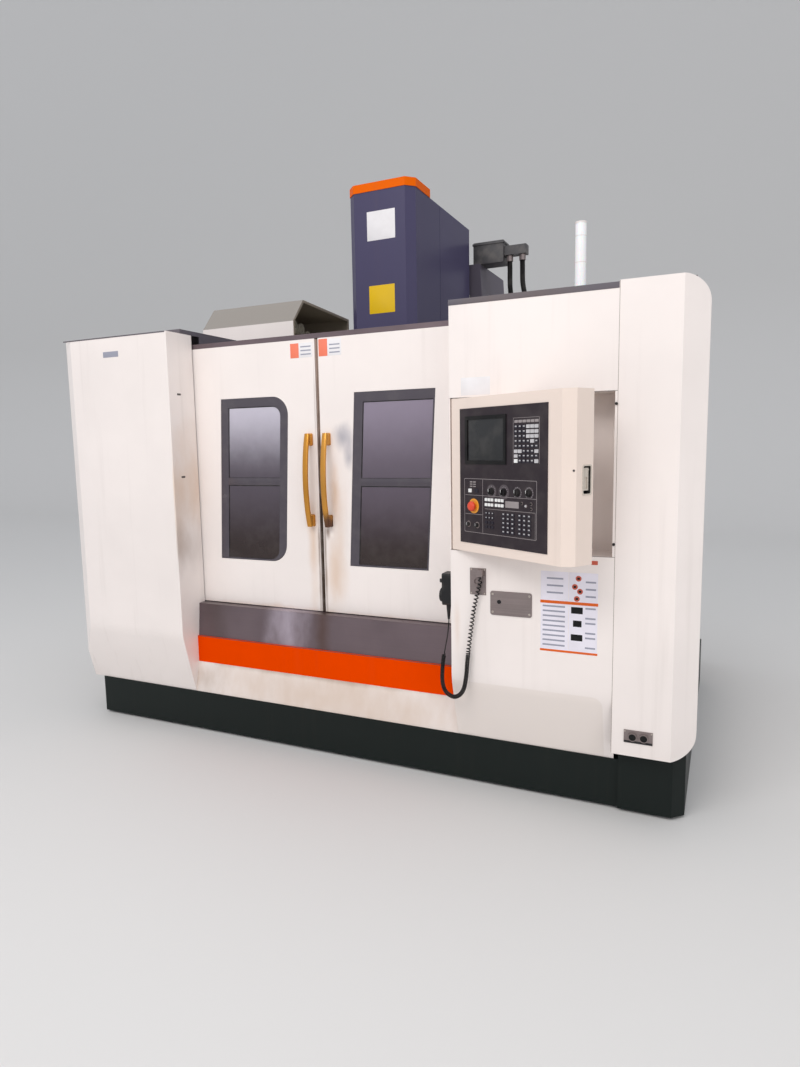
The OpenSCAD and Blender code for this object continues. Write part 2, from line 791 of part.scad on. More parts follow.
// Door tracks: a rail over the doors, and a low guide under them
track_x0 = left_x + skin + 4;
track_x1 = side_x - skin - 4;
module door_tracks() {
  guide = door_t / 2 + door_back;
  color(black) place() {
    run_x(track_x0, track_x1) polygon([[door_back, door_high_z + slide_gap],
      [wall_y, door_high_z + slide_gap], [wall_y, track_top_z], [door_back, track_top_z]]);
    run_x(track_x0, track_x1) polygon([[guide - 6, door_low_z - 4],
      [guide + 6, door_low_z - 4], [guide + 6, door_low_z + 10],
      [guide - 6, door_low_z + 10]]);
    for (span = [[track_x0, open_x0], [open_x1, track_x1]])
      block([span[0], guide - 6, door_low_z - 40], [span[1], wall_y, door_low_z - 4]);
  }
}

// DOORS

// Outline of a window that leans to the right, grown outwards by g
module window_outline(x_top_left, r, g) {
  k = window_lean / (window_high_z - window_low_z);
  z0 = window_low_z - g;
  z1 = window_high_z + g;
  slant = norm([1, k]);
  function left_at(z) = x_top_left - k * (window_high_z - z) - g * slant;
  function right_at(z) = left_at(z) + window_w + 2 * g * slant;
  bl = [left_at(z0), z0];
  br = [right_at(z0), z0];
  tr = [right_at(z1), z1];
  tl = [left_at(z1), z1];
  polygon(concat([bl], r > 0 ? round_corner(bl, br, tr, r + g, 10) : [br],
    r > 0 ? round_corner(br, tr, tl, r + g, 10) : [tr], [tl]));
}

left_win_x = mid_x - left_window_in - window_w;
right_win_x = mid_x + right_window_in;
glass_t = 8;
glass_back = 4;
ledge_w = 12;

// A door: a pressed pan, open at the back, with a framed window opening
module door_pan(x0, x1, win_x, win_r, strip_x, strip_end) {
  guide_w = 13;
  middle = door_back + door_t / 2;
  difference() {
    union() {
      block([x0, door_back, door_low_z], [x1, door_rear, door_high_z]);
      block([strip_x, door_back + 14, door_low_z], [strip_end, door_rear - 6, door_high_z]);
    }
    difference() {
      block([x0 + door_rim, door_back + skin, door_low_z + door_rim],
        [x1 - door_rim, door_rear + 1, door_high_z - door_rim]);
      run_y(door_back, door_rear) window_outline(win_x, win_r, 6);
    }
    run_y(door_back - 1, door_back + glass_back + glass_t) window_outline(win_x, win_r, 0);
    run_y(door_back, door_rear + 1) window_outline(win_x, win_r, -ledge_w);
    block([x0 - seal_gap, middle - guide_w / 2, door_low_z - 1],
      [x1 + seal_gap, middle + guide_w / 2, door_low_z + 10 + 1]);
  }
}
module window_pane(win_x, win_r) {
  run_y(door_back + glass_back, door_back + glass_back + glass_t)
    window_outline(win_x, win_r, -slide_gap);
}
module pull_handle(x) {
  half = handle_h / 2;
  thick = 14;
  end_h = 55;
  steps = 16;
  inner = 1 - end_h / half;
  function bow(s) = door_back - handle_end_out - handle_bow * (1 - s * s);
  color([0.78, 0.55, 0.20]) place() run_x(x - handle_w / 2, x + handle_w / 2)
    polygon(concat(
      [for (i = [-steps : steps]) [bow(i / steps), handle_mid_z + half * i / steps]],
      [[door_back, handle_mid_z + half], [door_back, handle_mid_z + half - end_h]],
      [for (i = [steps : -1 : -steps])
        [bow(inner * i / steps) + thick, handle_mid_z + half * inner * i / steps]],
      [[door_back, handle_mid_z - half + end_h], [door_back, handle_mid_z - half]]));
}
module left_door() {
  x1 = mid_x - seal_gap / 2;
  color(ivory) place()
    door_pan(open_x0 - door_overlap, x1, left_win_x, window_r, x1 - 1, mid_x - slide_gap);
}
module right_door() {
  x0 = mid_x + seal_gap / 2;
  color(ivory) place()
    door_pan(x0, open_x1 + door_overlap, right_win_x, 0, mid_x + slide_gap, x0 + 1);
}
module left_window() {
  color([0.25, 0.23, 0.30, 0.8]) place() window_pane(left_win_x, window_r);
}
module right_window() {
  color([0.25, 0.23, 0.30, 0.8]) place() window_pane(right_win_x, 0);
}
module left_handle() {
  pull_handle(mid_x - handle_in);
}
module right_handle() {
  pull_handle(mid_x + handle_in);
}

// OPERATOR BOX, drawn closed with its hinge axis at the origin and then swung out

box_low_z = bay_low_z + box_gap;
box_high_z = bay_high_z - box_gap;
face_y = -hinge_r;
box_x1 = box_w - hinge_r;
box_y1 = box_d - hinge_r;
plate_x = plate_in - hinge_r;
shaft_hole_r = 4;
latch_y = 79;
latch_low_z = 1320;
latch_h = 99;
latch_w = 40;
latch_depth = 28;
latch_pin_r = 3;
latch_pin_z = latch_low_z + latch_h - 14;

module swung() {
  place() translate([hinge_x, hinge_y, 0]) rotate([0, 0, -box_open]) children();
}
module box_plan(o) {
  r = 4;
  leg = box_chamfer - (2 - sqrt(2)) * o + 1;
  difference() {
    round_rect([-hinge_r + o, face_y + o], [box_x1 - o, box_y1 - o], [hinge_r - o, 0, r, r]);
    translate([box_x1 - o + 1, face_y + o - 1]) polygon([[-leg - 1, 0], [0, 0], [0, leg + 1]]);
  }
}
module pendant_box() {
  boss_r = hinge_r - 0.5;
  boss_h = 40;
  wall_x = box_x1 - latch_depth;
  color(ivory) swung() difference() {
    union() {
      difference() {
        run_z(box_low_z, box_high_z) box_plan(0);
        run_z(box_low_z + skin, box_high_z - skin) box_plan(skin);
        block([plate_x + 12, face_y - 1, plate_low_z + 12],
          [plate_x + plate_w - 12, face_y + skin + 1, plate_low_z + plate_h - 12]);
      }
      translate([0, 0, box_low_z + 1]) cylinder(r = boss_r, h = boss_h);
      translate([0, 0, box_high_z - boss_h - 1]) cylinder(r = boss_r, h = boss_h);
      block([wall_x - skin, latch_y - latch_w / 2 - skin, latch_low_z - skin],
        [box_x1 - 1, latch_y + latch_w / 2 + skin, latch_low_z + latch_h + skin]);
    }
    block([wall_x, latch_y - latch_w / 2, latch_low_z],
      [box_x1 + 1, latch_y + latch_w / 2, latch_low_z + latch_h]);
    bar_y(box_x1 - 10, latch_pin_z, latch_pin_r + fit, latch_y - latch_w / 2 - skin - 1,
      latch_y + latch_w / 2 + skin + 1);
    translate([0, 0, box_low_z - 1]) cylinder(r = hinge_pin_r + fit, h = pin_len + 2);
    translate([0, 0, box_high_z - pin_len - 1])
      cylinder(r = hinge_pin_r + fit, h = pin_len + 2);
  }
}

// Press latch in the dish on the box's right side
module pendant_latch() {
  blade_w = latch_w - 12;
  color(iron) swung() {
    difference() {
      block([box_x1 - 13, latch_y - blade_w / 2, latch_low_z + 12],
        [box_x1 - 5, latch_y + blade_w / 2, latch_low_z + latch_h - 7]);
      block([box_x1 - 9, latch_y - blade_w / 2 + 6, latch_low_z + 18],
        [box_x1 - 4, latch_y + blade_w / 2 - 6, latch_low_z + latch_h - 40]);
    }
    bar_y(box_x1 - 10, latch_pin_z, latch_pin_r, latch_y - latch_w / 2 - skin + 0.5,
      latch_y + latch_w / 2 + skin - 0.5);
  }
}

// Places on the face plate, as (distance from the box's left side, height)
stop_at = [150, 1254];
knob_places = [[255, 1317], [324, 1317], [397, 1318], [457, 1319]];
screen_low = [100, 1423];
screen_high = [337, 1613];

module pendant_plate() {
  color([0.26, 0.23, 0.25]) swung() difference() {
    block([plate_x, face_y - plate_t, plate_low_z],
      [plate_x + plate_w, face_y, plate_low_z + plate_h]);
    block([screen_low.x - hinge_r, face_y - plate_t - 1, screen_low.y],
      [screen_high.x - hinge_r, face_y + 1, screen_high.y]);
    for (at = concat([stop_at], knob_places))
      bar_y(at.x - hinge_r, at.y, shaft_hole_r + fit, face_y - plate_t - 1, face_y + 1);
  }
}
module screen() {
  bezel = 14;
  color(black) swung() difference() {
    block([screen_low.x - hinge_r, face_y - plate_t - 4, screen_low.y],
      [screen_high.x - hinge_r, face_y + 8, screen_high.y]);
    block([screen_low.x - hinge_r + bezel, face_y - plate_t - 5, screen_low.y + bezel],
      [screen_high.x - hinge_r - bezel, face_y - plate_t + 1, screen_high.y - bezel]);
  }
}

// Key fields: a thin mat with raised keys in rows and columns
module key_field(low, high, columns, rows, margin) {
  mat_t = 1;
  key_t = 2.5;
  gap = 4;
  w = (high.x - low.x - 2 * margin + gap) / columns;
  h = (high.y - low.y - 2 * margin + gap) / rows;
  y0 = face_y - plate_t;
  block([low.x - hinge_r, y0 - mat_t, low.y], [high.x - hinge_r, y0, high.y]);
  for (i = [0 : columns - 1]) for (j = [0 : rows - 1])
    translate([low.x - hinge_r + margin + i * w, y0 - mat_t - key_t, low.y + margin + j * h])
      cube([w - gap, key_t + 0.5, h - gap]);
}
module key_fields() {
  color([0.70, 0.70, 0.72]) swung() {
    key_field([373, 1426], [506, 1592], 6, 9, 6);
    key_field([216, 1256], [324, 1290], 8, 2, 3);
    key_field([318, 1154], [380, 1238], 3, 4, 4);
    key_field([402, 1152], [464, 1236], 3, 4, 4);
    key_field([222, 1164], [264, 1236], 2, 3, 4);
    key_field([104, 1164], [188, 1192], 2, 1, 6);
    key_field([116, 1306], [190, 1356], 2, 2, 6);
  }
}

// Stop button: a mushroom head on its shaft
module stop_button() {
  y0 = face_y - plate_t - slide_gap - stop_travel;
  color([0.80, 0.10, 0.05]) swung() translate([stop_at.x - hinge_r, y0, stop_at.y])
    rotate([90, 0, 0]) {
      rotate_extrude() polygon([[0, 0], [stop_r - 3, 0], [stop_r, 4], [stop_r, 9],
        [stop_r - 3, 14], [stop_r - 9, 17], [0, 18]]);
      translate([0, 0, -24]) cylinder(r = shaft_hole_r, h = 25);
    }
}

// A rotary knob with its pointer ridge
module knob(at) {
  y0 = face_y - plate_t - slide_gap;
  ridge_w = 5;
  color(black) swung() translate([at.x - hinge_r, y0, at.y]) rotate([90, 0, 0]) {
    cylinder(r1 = knob_r, r2 = knob_r - 2, h = 12);
    translate([-ridge_w / 2, -knob_r + 3, 11]) cube([ridge_w, 2 * knob_r - 6, 7]);
    translate([0, 0, -12]) cylinder(r = shaft_hole_r, h = 13);
  }
}
module mode_knob() {
  knob(knob_places[0]);
}
module feed_knob() {
  knob(knob_places[1]);
}
module rapid_knob() {
  knob(knob_places[2]);
}
module speed_knob() {
  knob(knob_places[3]);
}

// COLUMN, WAYS, SADDLE AND TABLE

z_rail_in = 150;
z_rail_low = bed_top_z + 400;
z_rail_high = column_top_z - 50;

// Column: a tapered casting, hollow and open at the back between its ribs
module column_face(o) {
  z0 = bed_top_z;
  z1 = column_top_z - o;
  polygon([[mid_x - column_foot_w + o, z0 + o], [mid_x + column_foot_w - o, z0 + o],
    [mid_x + column_top_w - o, z1], [mid_x - column_top_w + o, z1]]);
}
module column() {
  rib_pitch = 420;
  color(iron) place() difference() {
    run_y(column_y, column_y + column_d) column_face(0);
    difference() {
      run_y(column_y + cast_wall, column_y + column_d + 1) column_face(cast_wall);
      for (z = [bed_top_z + rib_pitch : rib_pitch : column_top_z])
        block([left_x, column_y, z], [right_x, column_y + column_d, z + cast_wall]);
    }
  }
}

// Cross-section of a guide rail: foot, waist and head, standing on v = 0
module rail_section() {
  w = rail_w / 2;
  polygon([[-w, 0], [w, 0], [w, rail_h * 0.45], [w - 5, rail_h * 0.6], [w, rail_h * 0.78],
    [w, rail_h], [-w, rail_h], [-w, rail_h * 0.78], [-w + 5, rail_h * 0.6],
    [-w, rail_h * 0.45]]);
}
module ways_and_screws() {
  screw_r = 16;
  motor_w = 170;
  color(steel) place() {
    for (side = [-1, 1]) {
      run_y(y_rail_front, bed_neck_y) translate([mid_x + side * y_rail_in, bed_top_z])
        rail_section();
      translate([mid_x + side * z_rail_in, column_y, 0])
        run_z(z_rail_low, z_rail_high) rotate(180) rail_section();
    }
    bar_y(mid_x, bed_top_z + 30, screw_r, y_rail_front + 30, bed_neck_y - 30);
    for (y = [y_rail_front, bed_neck_y - 40])
      block([mid_x - 50, y, bed_top_z], [mid_x + 50, y + 40, bed_top_z + 60]);
    translate([mid_x, rail_y + 28, z_rail_low + 40])
      cylinder(r = screw_r, h = z_rail_high - z_rail_low - 80);
    for (z = [z_rail_low, z_rail_high - 50])
      block([mid_x - 50, rail_y + 4, z], [mid_x + 50, column_y, z + 50]);
    block([mid_x - motor_w / 2, column_y + 20, column_top_z],
      [mid_x + motor_w / 2, column_y + 20 + motor_w, column_top_z + 200]);
  }
}

// A bearing block that hangs round a rail, with its running gap, along 2 * half
module truck_section(drop) {
  w = rail_w / 2 + 22;
  g = slide_gap;
  difference() {
    translate([-w, rail_h - drop]) square([2 * w, drop + 12]);
    translate([-rail_w / 2 - g, -1]) square([rail_w + 2 * g, rail_h + 1 + g]);
  }
}

// Saddle: a long casting with bearing blocks below, X rails above and its cover section
x_rail_in = 180;
x_rail_h = 30;
saddle_y0 = spindle_back - saddle_d / 2;
saddle_y1 = spindle_back + saddle_d / 2;
saddle_low_z = bed_top_z + rail_h + 12;
module saddle() {
  truck_len = 140;
  color(iron) place() {
    difference() {
      block([mid_x - saddle_len / 2, saddle_y0, saddle_low_z + 60],
        [mid_x + saddle_len / 2, saddle_y1, saddle_top_z]);
      for (side = [-1, 1])
        block([mid_x + side * saddle_len / 4 - 340, saddle_y0 + cast_wall, saddle_low_z],
          [mid_x + side * saddle_len / 4 + 340, saddle_y1 - cast_wall,
            saddle_top_z - cast_wall]);
    }
    block([mid_x - y_rail_in - 60, saddle_y0, saddle_low_z],
      [mid_x + y_rail_in + 60, saddle_y1, saddle_low_z + 60]);
    for (side = [-1, 1]) for (y = [saddle_y0, saddle_y1 - truck_len])
      run_y(y, y + truck_len) translate([mid_x + side * y_rail_in, bed_top_z])
        truck_section(36);
    for (side = [-1, 1])
      run_x(mid_x - saddle_len / 2, mid_x + saddle_len / 2)
        translate([spindle_back + side * x_rail_in, saddle_top_z])
          square([rail_w, x_rail_h * 2], center = true);
    bar_x(spindle_back, saddle_top_z + 20, 14, mid_x - saddle_len / 2 + 30,
      mid_x + saddle_len / 2 - 30);
    for (side = [-1, 1])
      block([mid_x + side * (saddle_len / 2 - 20) - 20, spindle_back - 45, saddle_top_z - 1],
        [mid_x + side * (saddle_len / 2 - 20) + 20, spindle_back + 45, saddle_top_z + 44]);
  }
  color(steel) place() cover_section(3, saddle_y0 - section_len, bed_top_z + 8);
}

// Table: plate with two recesses and bearing blocks on the X rails, and the lands between
// its T-slots, which are solids of their own
slot_neck = 22;
slot_foot_h = 14;
slot_floor_z = table_top_z - slot_neck - slot_foot_h;

module t_slot() {
  foot_w = slot_w + 14;
  translate([-slot_w / 2, -slot_neck - 1]) square([slot_w, slot_neck + 2]);
  translate([-foot_w / 2, -slot_neck - slot_foot_h - 1]) square([foot_w, slot_foot_h + 1]);
}
module table() {
  slots = floor((table_d - 80) / slot_pitch / 2);
  truck_half = 60;
  truck_in = 200;
  low = table_top_z - table_t;
  color(iron) place() {
    difference() {
      block([mid_x - table_len / 2, spindle_back - table_d / 2, low],
        [mid_x + table_len / 2, spindle_back + table_d / 2, slot_floor_z - fit]);
      for (side = [-1, 1])
        block([mid_x - table_len / 2 + 60, spindle_back + side * 120 - 90, low - 1],
          [mid_x + table_len / 2 - 60, spindle_back + side * 120 + 90, low + 30]);
    }
    difference() {
      block([mid_x - table_len / 2, spindle_back - table_d / 2, slot_floor_z],
        [mid_x + table_len / 2, spindle_back + table_d / 2, table_top_z]);
      run_x(mid_x - table_len / 2 - 1, mid_x + table_len / 2 + 1)
        for (i = [-slots : slots])
          translate([spindle_back + i * slot_pitch, table_top_z]) t_slot();
    }
    for (side = [-1, 1]) for (end = [-1, 1])
      difference() {
        block([mid_x + end * truck_in - truck_half,
            spindle_back + side * x_rail_in - 40, saddle_top_z + 6],
          [mid_x + end * truck_in + truck_half,
            spindle_back + side * x_rail_in + 40, low + 31]);
        block([mid_x + end * truck_in - truck_half - 1,
            spindle_back + side * x_rail_in - rail_w / 2 - slide_gap, saddle_top_z],
          [mid_x + end * truck_in + truck_half + 1,
            spindle_back + side * x_rail_in + rail_w / 2 + slide_gap,
            saddle_top_z + x_rail_h + slide_gap]);
      }
  }
}

// The two middle sections of the telescopic cover move a third and two thirds of the way
module way_cover_a() {
  color(steel) place() cover_section(1, cover_y0 + saddle_travel / 3, bed_top_z + 8);
}
module way_cover_b() {
  color(steel) place() cover_section(2, cover_y0 + saddle_travel * 2 / 3, bed_top_z + 8);
}

// HEAD

head_half_w = cover_half_w - skin - 9;
carriage_y = column_y - rail_h - 130;
head_low_z = nose_z + 12 + slide_gap;
head_top_z = 2500;
module spindle_head() {
  neck_w = 140;
  quill_r = 110;
  nut_gap = 60;
  color(iron) place() {
    difference() {
      union() {
        block([mid_x - head_half_w, carriage_y, head_low_z + 70],
          [mid_x + head_half_w, rail_y - slide_gap, head_top_z]);
        block([mid_x - neck_w, spindle_back, head_low_z + 60],
          [mid_x + neck_w, carriage_y + 1, head_low_z + 460]);
        translate([mid_x, spindle_back, head_low_z + 48])
          cylinder(r = quill_r, h = 480);
        translate([mid_x, spindle_back, head_low_z]) cylinder(r = 80, h = 50);
        for (side = [-1, 1])
          translate([mid_x + side * z_rail_in, column_y, 0])
            for (z = [head_low_z + 70, head_top_z - 160])
              run_z(z, z + 160) rotate(180) truck_section(36);
      }
      translate([mid_x, spindle_back, head_low_z - 1]) cylinder(r = shaft_r + fit, h = 500);
      for (side = [-1, 1])
        block([mid_x + side * 70 - 55, spindle_back + quill_r + 40, head_low_z + 59],
          [mid_x + side * 70 + 55, carriage_y - 40, head_low_z + 300]);
    }
    translate([mid_x, spindle_back, head_low_z + 528]) {
      run_z(0, 330) round_rect([-100, -100], [100, 100], [20, 20, 20, 20]);
      translate([0, 0, 329]) cylinder(r = 85, h = 60);
    }
  }
}

// Head cover: a tall folded hood that travels with the head, and its orange cap
cover_y = spindle_back - cover_front;
cover_rear = rail_y - 10;
module cover_plan(o, y1) {
  w = cover_half_w - o;
  c = cover_chamfer - o * 0.41;
  polygon([[mid_x - w + c, cover_y + o], [mid_x + w - c, cover_y + o],
    [mid_x + w, cover_y + cover_chamfer + o * 0.59], [mid_x + w, y1],
    [mid_x - w, y1], [mid_x - w, cover_y + cover_chamfer + o * 0.59]]);
}
module head_cover() {
  seam_y = cover_y + 404;
  color(dark_blue) place() {
    difference() {
      run_z(cover_low_z, cover_top_z) cover_plan(0, cover_rear);
      run_z(cover_low_z - 1, cover_top_z - skin) cover_plan(skin, cover_rear + 1);
      for (side = [-1, 1])
        block([mid_x + side * cover_half_w - 1.5, seam_y - 2, cover_low_z - 1],
          [mid_x + side * cover_half_w + 1.5, seam_y + 2, cover_top_z + 1]);
    }
    for (side = [-1, 1])
      translate([mid_x + side * (head_half_w + cover_half_w - skin + root) / 2,
          (carriage_y + cover_rear) / 2, cover_low_z + 270])
        cube([cover_half_w - skin + root - head_half_w, cover_rear - carriage_y, 460],
          center = true);
  }
}
module cover_cap() {
  lip = 3;
  color(orange) place() difference() {
    run_z(cover_top_z, cover_top_z + cap_h) cover_plan(-lip, cover_y + cap_len);
    run_z(cover_top_z - 1, cover_top_z + cap_h - skin - lip)
      cover_plan(lip + skin, cover_y + cap_len - skin - lip);
  }
}

// Spindle: shaft, nose with two drive keys and the tool taper
module spindle() {
  nose_r = 64;
  taper_len = 65;
  taper_r = 22.2;
  taper_top_r = 12.7;
  key_w = 16;
  color(steel) place() translate([mid_x, spindle_back, nose_z]) {
    difference() {
      union() {
        cylinder(r = nose_r, h = 12);
        translate([0, 0, 11]) cylinder(r = shaft_r, h = 480);
      }
      translate([0, 0, -0.01])
        cylinder(r1 = taper_r, r2 = taper_top_r, h = taper_len + 0.01);
      translate([0, 0, taper_len - 1]) cylinder(r = 12, h = 120);
    }
    for (side = [-1, 1])
      translate([side * 44 - 12, -key_w / 2, -8]) cube([24, key_w, 8.5]);
  }
}

// TOOL MAGAZINE

disc_z = 2010;
axle_r = 40;
pot_mouth_x = mid_x - 740;
pot_len = 120;
disc_t = 20;
disc_x = pot_mouth_x - pot_len - disc_t;
hood_rear = hood_back + 680;
hood_low_z = 1560;
hood_rear_z = hood_top_z - 30;
changer_x0 = mid_x - 420;
changer_x1 = mid_x - 238;
changer_z0 = nose_z + 60;
changer_z1 = 2100;
arm_x = mid_x - arm_reach;

// Hood: front wall, sloping front, roof and rear wall in one sheet, with its left end
module hood_outline(o) {
  slope = hood_top_z - hood_bend_z;
  polygon([[hood_back + o, hood_low_z - (o > 0 ? 1 : 0)], [hood_back + o, hood_bend_z],
    [hood_back + slope * 0.84 + o * 0.5, hood_top_z - o], [hood_rear - o, hood_rear_z - o],
    [hood_rear - o, hood_low_z - (o > 0 ? 1 : 0)]]);
}
module magazine_hood() {
  flange = 15;
  color(ivory) place() {
    difference() {
      run_x(hood_left_x, hood_right_x) hood_outline(0);
      run_x(hood_left_x + skin, hood_right_x - skin) hood_outline(skin);
      run_x(hood_right_x - skin - 1, hood_right_x + 1) hood_outline(flange);
    }
  }
}

// Changer box: the cam gearbox over the change arm, with the arm to the column, the plate
// that carries the hood, and the axle of the tool disc
module changer_box() {
  beam_x1 = changer_x1 - 10;
  bracket_x = mid_x - column_half(changer_z1 - 50) + 4;
  color(iron) place() {
    difference() {
      block([changer_x0, spindle_back - 80, changer_z0],
        [changer_x1, hood_rear, changer_z1]);
      translate([arm_x, spindle_back, changer_z0 - 1]) cylinder(r = 35 + fit, h = 160);
    }
    block([bracket_x, hood_rear, changer_z0 + 50], [beam_x1, column_y, changer_z1 - 50]);
    block([hood_left_x, hood_rear, changer_z0 + 20], [changer_x0 + 60, hood_rear + 14, changer_z1]);
    bar_x(spindle_back, disc_z, axle_r, disc_x - slide_gap - 1, changer_x0 + 1);
    bar_x(spindle_back, disc_z, axle_r + 14, pot_mouth_x + slide_gap, changer_x0 + 1);
    bar_x(spindle_back, disc_z, axle_r + 10, disc_x - slide_gap - 14, disc_x - slide_gap);
  }
}

// Tool disc: plate, hub and pots with tapered sockets
module tool_disc() {
  socket_r = 22.2;
  color([0.80, 0.78, 0.72]) place() translate([0, spindle_back, disc_z]) difference() {
    union() {
      translate([disc_x, 0, 0]) rotate([0, 90, 0]) cylinder(r = pot_circle_r + 6, h = disc_t);
      translate([disc_x, 0, 0]) rotate([0, 90, 0]) cylinder(r = 90, h = pot_len + disc_t);
      for (i = [0 : pot_count - 1])
        rotate([360 * i / pot_count, 0, 0]) translate([disc_x + disc_t - 1, 0, -pot_circle_r])
          rotate([0, 90, 0]) cylinder(r = pot_r, h = pot_len + 1, $fn = 32);
    }
    translate([disc_x - 1, 0, 0]) rotate([0, 90, 0])
      cylinder(r = axle_r + fit, h = pot_len + disc_t + 2);
    for (i = [0 : pot_count - 1])
      rotate([360 * i / pot_count, 0, 0])
        translate([pot_mouth_x - 65, 0, -pot_circle_r]) rotate([0, 90, 0])
          cylinder(r1 = 12.7, r2 = socket_r, h = 65.01, $fn = 32);
  }
}

// Arm shaft, which drops the arm, and the double-ended change arm on it
arm_low_z = nose_z - 52;
arm_t = 40;
module arm_shaft() {
  color(steel) place() translate([arm_x, spindle_back, 0]) {
    translate([0, 0, arm_low_z + arm_t + 6]) cylinder(r = 35, h = changer_z0 + 120 - arm_low_z - arm_t - 6);
    translate([0, 0, arm_low_z - 10]) cylinder(r = 22, h = arm_t + 20);
    translate([0, 0, arm_low_z - 18]) cylinder(r = 30, h = 17.7);
  }
}
module change_arm() {
  jaw_r = 32;
  half_w = 45;
  color(iron) place() translate([arm_x, spindle_back, arm_low_z]) difference() {
    union() {
      cylinder(r = 60, h = arm_t + 6 - slide_gap);
      translate([-26, -arm_reach, 0]) cube([52, 2 * arm_reach, arm_t]);
      for (side = [-1, 1])
        translate([0, side * arm_reach, 0]) cylinder(r = half_w, h = arm_t);
    }
    translate([0, 0, -1]) cylinder(r = 22 + fit, h = arm_t + 10);
    for (side = [-1, 1]) {
      translate([0, side * arm_reach, -1]) cylinder(r = jaw_r, h = arm_t + 2);
      translate([side > 0 ? 0 : -half_w - 1, side * arm_reach - jaw_r * 0.8, -1])
        cube([half_w + 1, jaw_r * 1.6, arm_t + 2]);
    }
  }
}

// ELECTRICAL CABINET at the back

ecab_y0 = enclosure_depth;
ecab_y1 = enclosure_depth + ecab_d;
ecab_x1 = ecab_x + ecab_w;
edoor_t = 22;
edoor_gap = 1;
epin_r = 6;
eknuckle_r = 11;
epin_x = ecab_x1 + 10;
edoor_x1 = ecab_x1 - 2;
epin_y = ecab_y1 + edoor_gap + edoor_t / 2;
knuckle_h = 60;
knuckle_places = [ecab_low_z + 150, (ecab_low_z + ecab_top_z) / 2, ecab_top_z - 250];
switch_x = ecab_x + 160;
switch_z = 1600;

module electrical_cabinet() {
  color(ivory) place() {
    difference() {
      block([ecab_x, ecab_y0, ecab_low_z], [ecab_x1, ecab_y1, ecab_top_z]);
      block([ecab_x + skin, ecab_y0 + skin, ecab_low_z + skin],
        [ecab_x1 - skin, ecab_y1 + 1, ecab_top_z - skin]);
    }
    for (z = knuckle_places) {
      translate([epin_x, epin_y, z - 30]) cylinder(r = epin_r, h = knuckle_h + 30);
      translate([epin_x, epin_y, z - 30]) cylinder(r = epin_r + 3, h = 30 - slide_gap);
      block([ecab_x1 - root, ecab_y1 - 30, z - 30], [ecab_x1 + 5, epin_y, z - slide_gap]);
    }
  }
}
module cabinet_door() {
  y0 = ecab_y1 + edoor_gap;
  color(ivory) place() difference() {
    union() {
      difference() {
        block([ecab_x, y0, ecab_low_z], [edoor_x1, y0 + edoor_t, ecab_top_z]);
        block([ecab_x + skin, y0 - 1, ecab_low_z + skin],
          [edoor_x1 - skin, y0 + edoor_t - skin, ecab_top_z - skin]);
      }
      for (z = knuckle_places) {
        translate([epin_x, epin_y, z]) cylinder(r = eknuckle_r, h = knuckle_h);
        block([edoor_x1 - 1, epin_y - 1, z], [epin_x, y0 + edoor_t, z + knuckle_h]);
      }
      block([ecab_x + 30, y0 + edoor_t - 1, 1180], [ecab_x + 62, y0 + edoor_t + 24, 1300]);
    }
    for (z = knuckle_places)
      translate([epin_x, epin_y, z - 1]) cylinder(r = epin_r + fit, h = knuckle_h + 2);
    bar_y(switch_x, switch_z, 5 + fit, y0 + edoor_t - skin - 1, y0 + edoor_t + 1);
  }
}
module main_switch() {
  y0 = ecab_y1 + edoor_gap + edoor_t + slide_gap;
  color([0.75, 0.08, 0.05]) place() {
    bar_y(switch_x, switch_z, 34, y0, y0 + 10);
    block([switch_x - 9, y0 + 9, switch_z - 30], [switch_x + 9, y0 + 34, switch_z + 30]);
    bar_y(switch_x, switch_z, 5, y0 - 16, y0 + 1);
  }
}

// SMALL PIECES ON THE OUTSIDE

// Socket plate with its angled socket, port plate with its hole, and the twin outlet plate
socket_x = open_x1 + 136;
socket_z = 955;
outlet_x = fair_x0 + 48;
module wall_plates() {
  t = 3;
  color(steel) place() {
    block([socket_x - 49, -t, 874], [socket_x + 21, 0, 987]);
    block([socket_x - 13, -30, socket_z], [socket_x + 13, root - t, socket_z + 28]);
    difference() {
      run_y(-t, 0) round_rect([socket_x + 40, 793], [socket_x + 216, 895], [10, 10, 10, 10]);
      bar_y(socket_x + 78, 850, 9, -t - 1, 1);
    }
    block([outlet_x, -t, 326], [outlet_x + 108, 0, 378]);
    for (x = [outlet_x + 33, outlet_x + 75])
      bar_y(x, 352, 17, -t - 7, -t + 0.5);
  }
}

// Signal lamp on the right roof
lamp_at = [open_x1 + 412, 620];
lamp_top_z = right_top_z + right_roof_h + 395;
module signal_lamp() {
  r = 25;
  z0 = right_top_z + right_roof_h;
  color("white") place() translate([lamp_at.x, lamp_at.y, 0]) {
    translate([0, 0, z0]) cylinder(r = 42, h = 8);
    translate([0, 0, z0 + 7]) cylinder(r = 12, h = 90);
    translate([0, 0, z0 + 96]) rotate_extrude() polygon([[0, 0], [r, 0],
      [r, lamp_top_z - z0 - 100], [r - 4, lamp_top_z - z0 - 96], [0, lamp_top_z - z0 - 96]]);
  }
}

